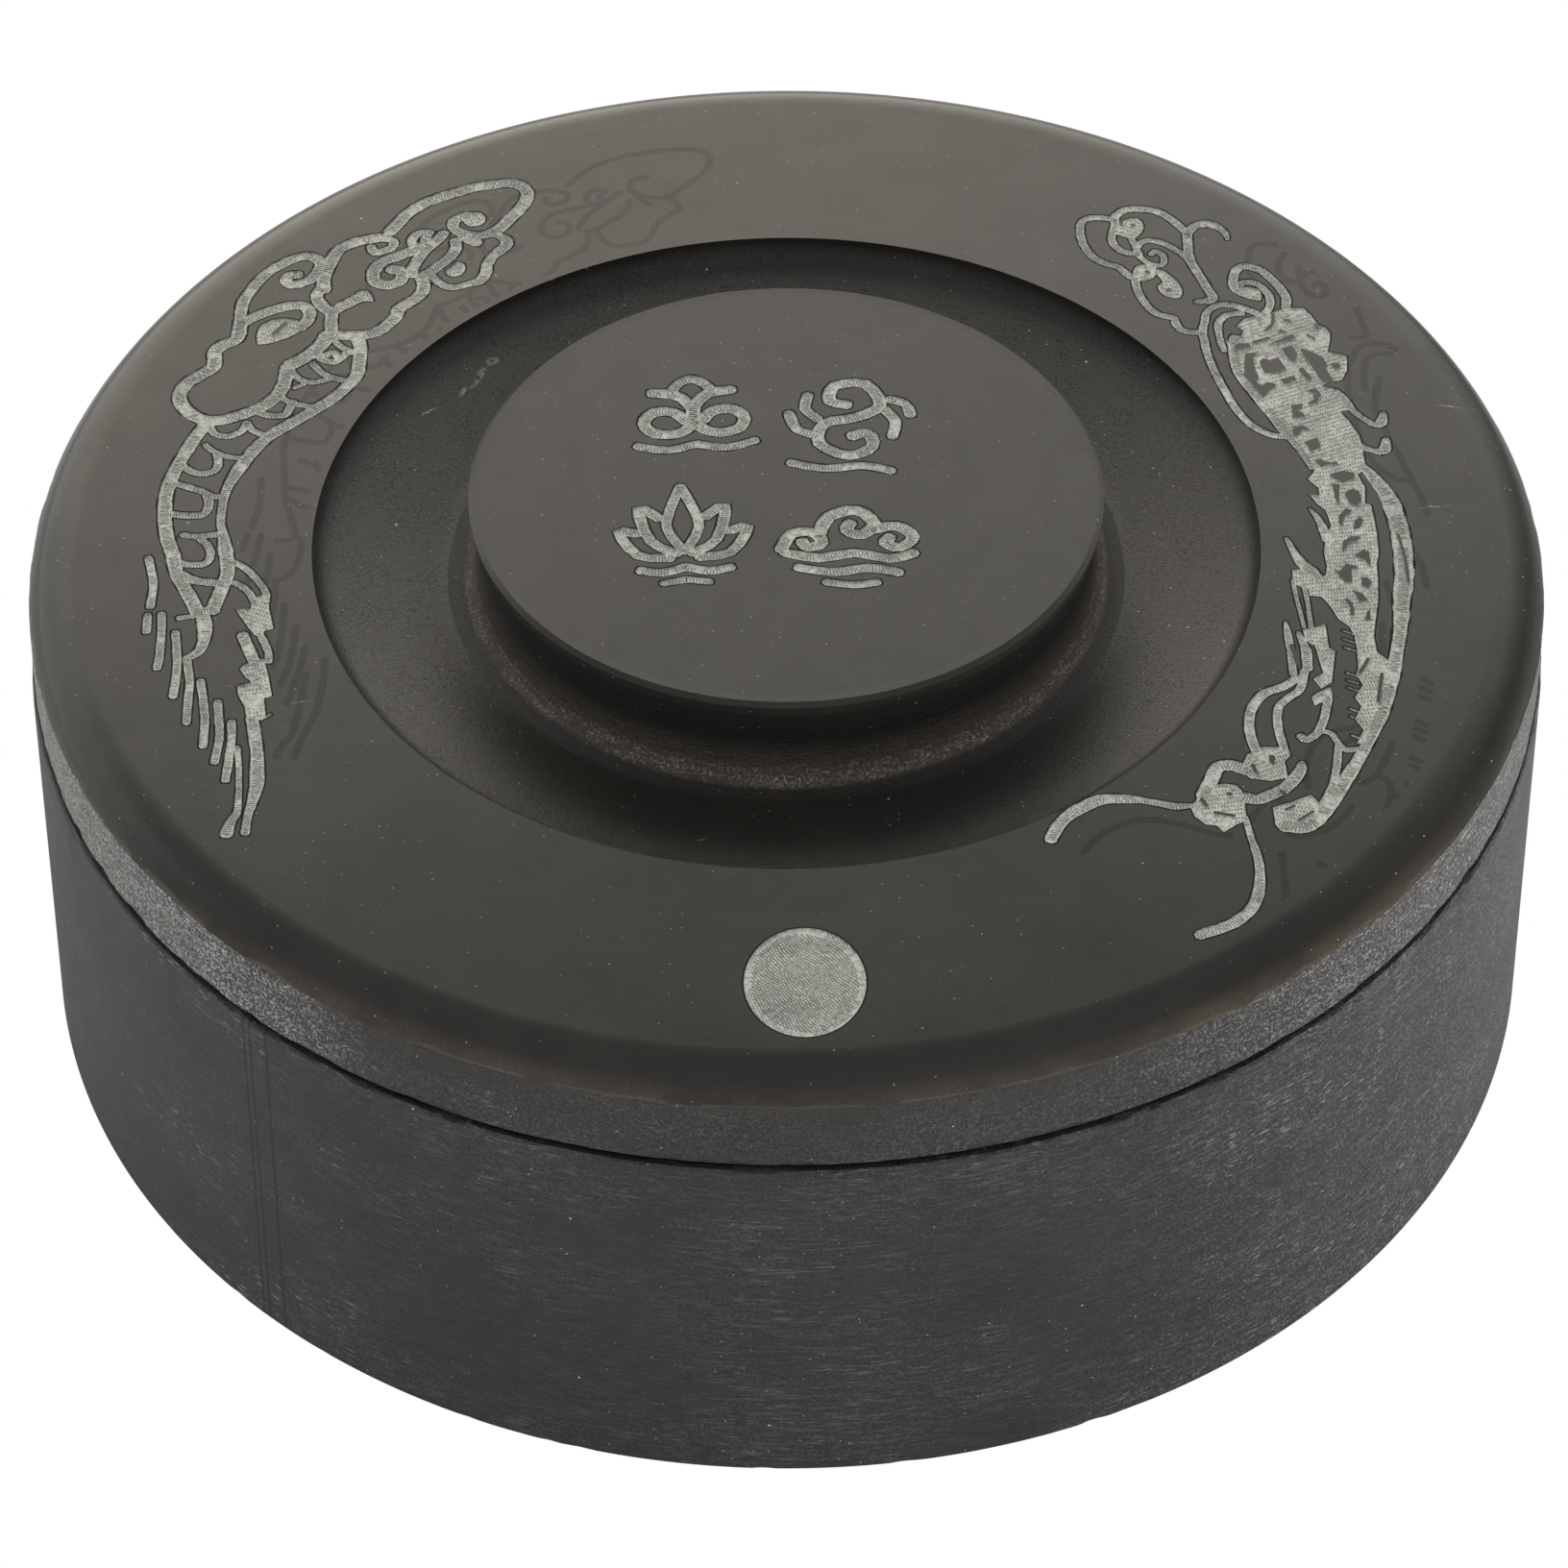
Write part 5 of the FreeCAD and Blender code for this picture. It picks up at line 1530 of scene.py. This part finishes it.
# Shows one shader to the camera and gives the other one to every other ray.
def showToCamera(tree, shown, other, outputKind):
    path = makeNode(tree, "ShaderNodeLightPath").outputs
    links = {0: path["Is Camera Ray"], 1: other.outputs[0], 2: shown.outputs[0]}
    mix = makeNode(tree, "ShaderNodeMixShader", links)
    makeNode(tree, outputKind, {0: mix.outputs[0]})


def makeFloor():
    half = studio["floorSize"] / 2
    mesh = bpy.data.meshes.new("floor")
    corners = [(x * half, y * half, 0) for x, y in ((-1, -1), (1, -1), (1, 1), (-1, 1))]
    mesh.from_pydata(corners, [], [(0, 1, 2, 3)])
    floor = addToScene("floor", mesh)
    material, tree = newMaterial("paleFloor")
    diffuse = makeNode(tree, "ShaderNodeBsdfDiffuse", {"Color": (0.88, 0.88, 0.88, 1)})
    glow = makeNode(tree, "ShaderNodeEmission", {"Color": (1, 1, 1, 1), "Strength": 1.0})
    showToCamera(tree, glow, diffuse, "ShaderNodeOutputMaterial")
    mesh.materials.append(material)


# White to the camera; otherwise brightest low behind the object, and dim overhead, in front
# and at the sides.
def makeWorld():
    world = bpy.data.worlds.new("studio")
    world.use_nodes = True
    tree = world.node_tree
    tree.nodes.clear()
    direction = makeNode(tree, "ShaderNodeTexCoord").outputs["Generated"]
    across, along, up = makeNode(tree, "ShaderNodeSeparateXYZ", {0: direction}).outputs
    back = remap(tree, along, 0.0, 0.55)
    low = remap(tree, up, 0.765, 0.605, shape="SMOOTHSTEP")
    left = remap(tree, across, -0.17, 0.17, 1.22, 0.8)
    leftEnd = remap(tree, across, -0.12, -0.6, 1.0, 0.42)
    rightEnd = remap(tree, across, 0.1, 0.6, 1.0, 0.3)
    bright = times(tree, back, low, left, leftEnd, rightEnd)
    strength = plus(tree, times(tree, bright, 1.97), 0.35)
    warmth = mixColour(tree, bright, (1, 1, 1, 1), (1, 0.94, 0.82, 1))
    light = makeNode(tree, "ShaderNodeBackground", {"Color": warmth, "Strength": strength})
    white = makeNode(tree, "ShaderNodeBackground", {"Color": (1, 1, 1, 1), "Strength": 1.0})
    showToCamera(tree, white, light, "ShaderNodeOutputWorld")
    bpy.context.scene.world = world


# A soft lamp that lights rough stone but isn't mirrored in it.
def makeSoftbox(name, place, target, size, power):
    light = bpy.data.lights.new(name, "AREA")
    light.shape = "RECTANGLE"
    light.size = size[0]
    light.size_y = size[1]
    light.energy = power
    lamp = addToScene(name, light)
    lamp.location = place
    lamp.rotation_euler = (Vector(target) - Vector(place)).to_track_quat("-Z", "Y").to_euler()
    lamp.visible_glossy = False


def makeCamera():
    data = bpy.data.cameras.new("camera")
    data.lens = studio["lens"]
    data.sensor_width = studio["sensor"]
    data.clip_start = studio["nearest"]
    camera = addToScene("camera", data)
    tilt = Matrix.Rotation(math.radians(studio["cameraTilt"]), 4, "X")
    roll = Matrix.Rotation(math.radians(studio["cameraRoll"]), 4, "Z")
    camera.matrix_world = Matrix.Translation(studio["cameraAt"]) @ tilt @ roll
    bpy.context.scene.camera = camera


makeFloor()
makeWorld()
for softbox in softboxes:
    makeSoftbox(**softbox)
makeCamera()
bpy.context.scene.view_settings.view_transform = "Standard"
print("stage made")
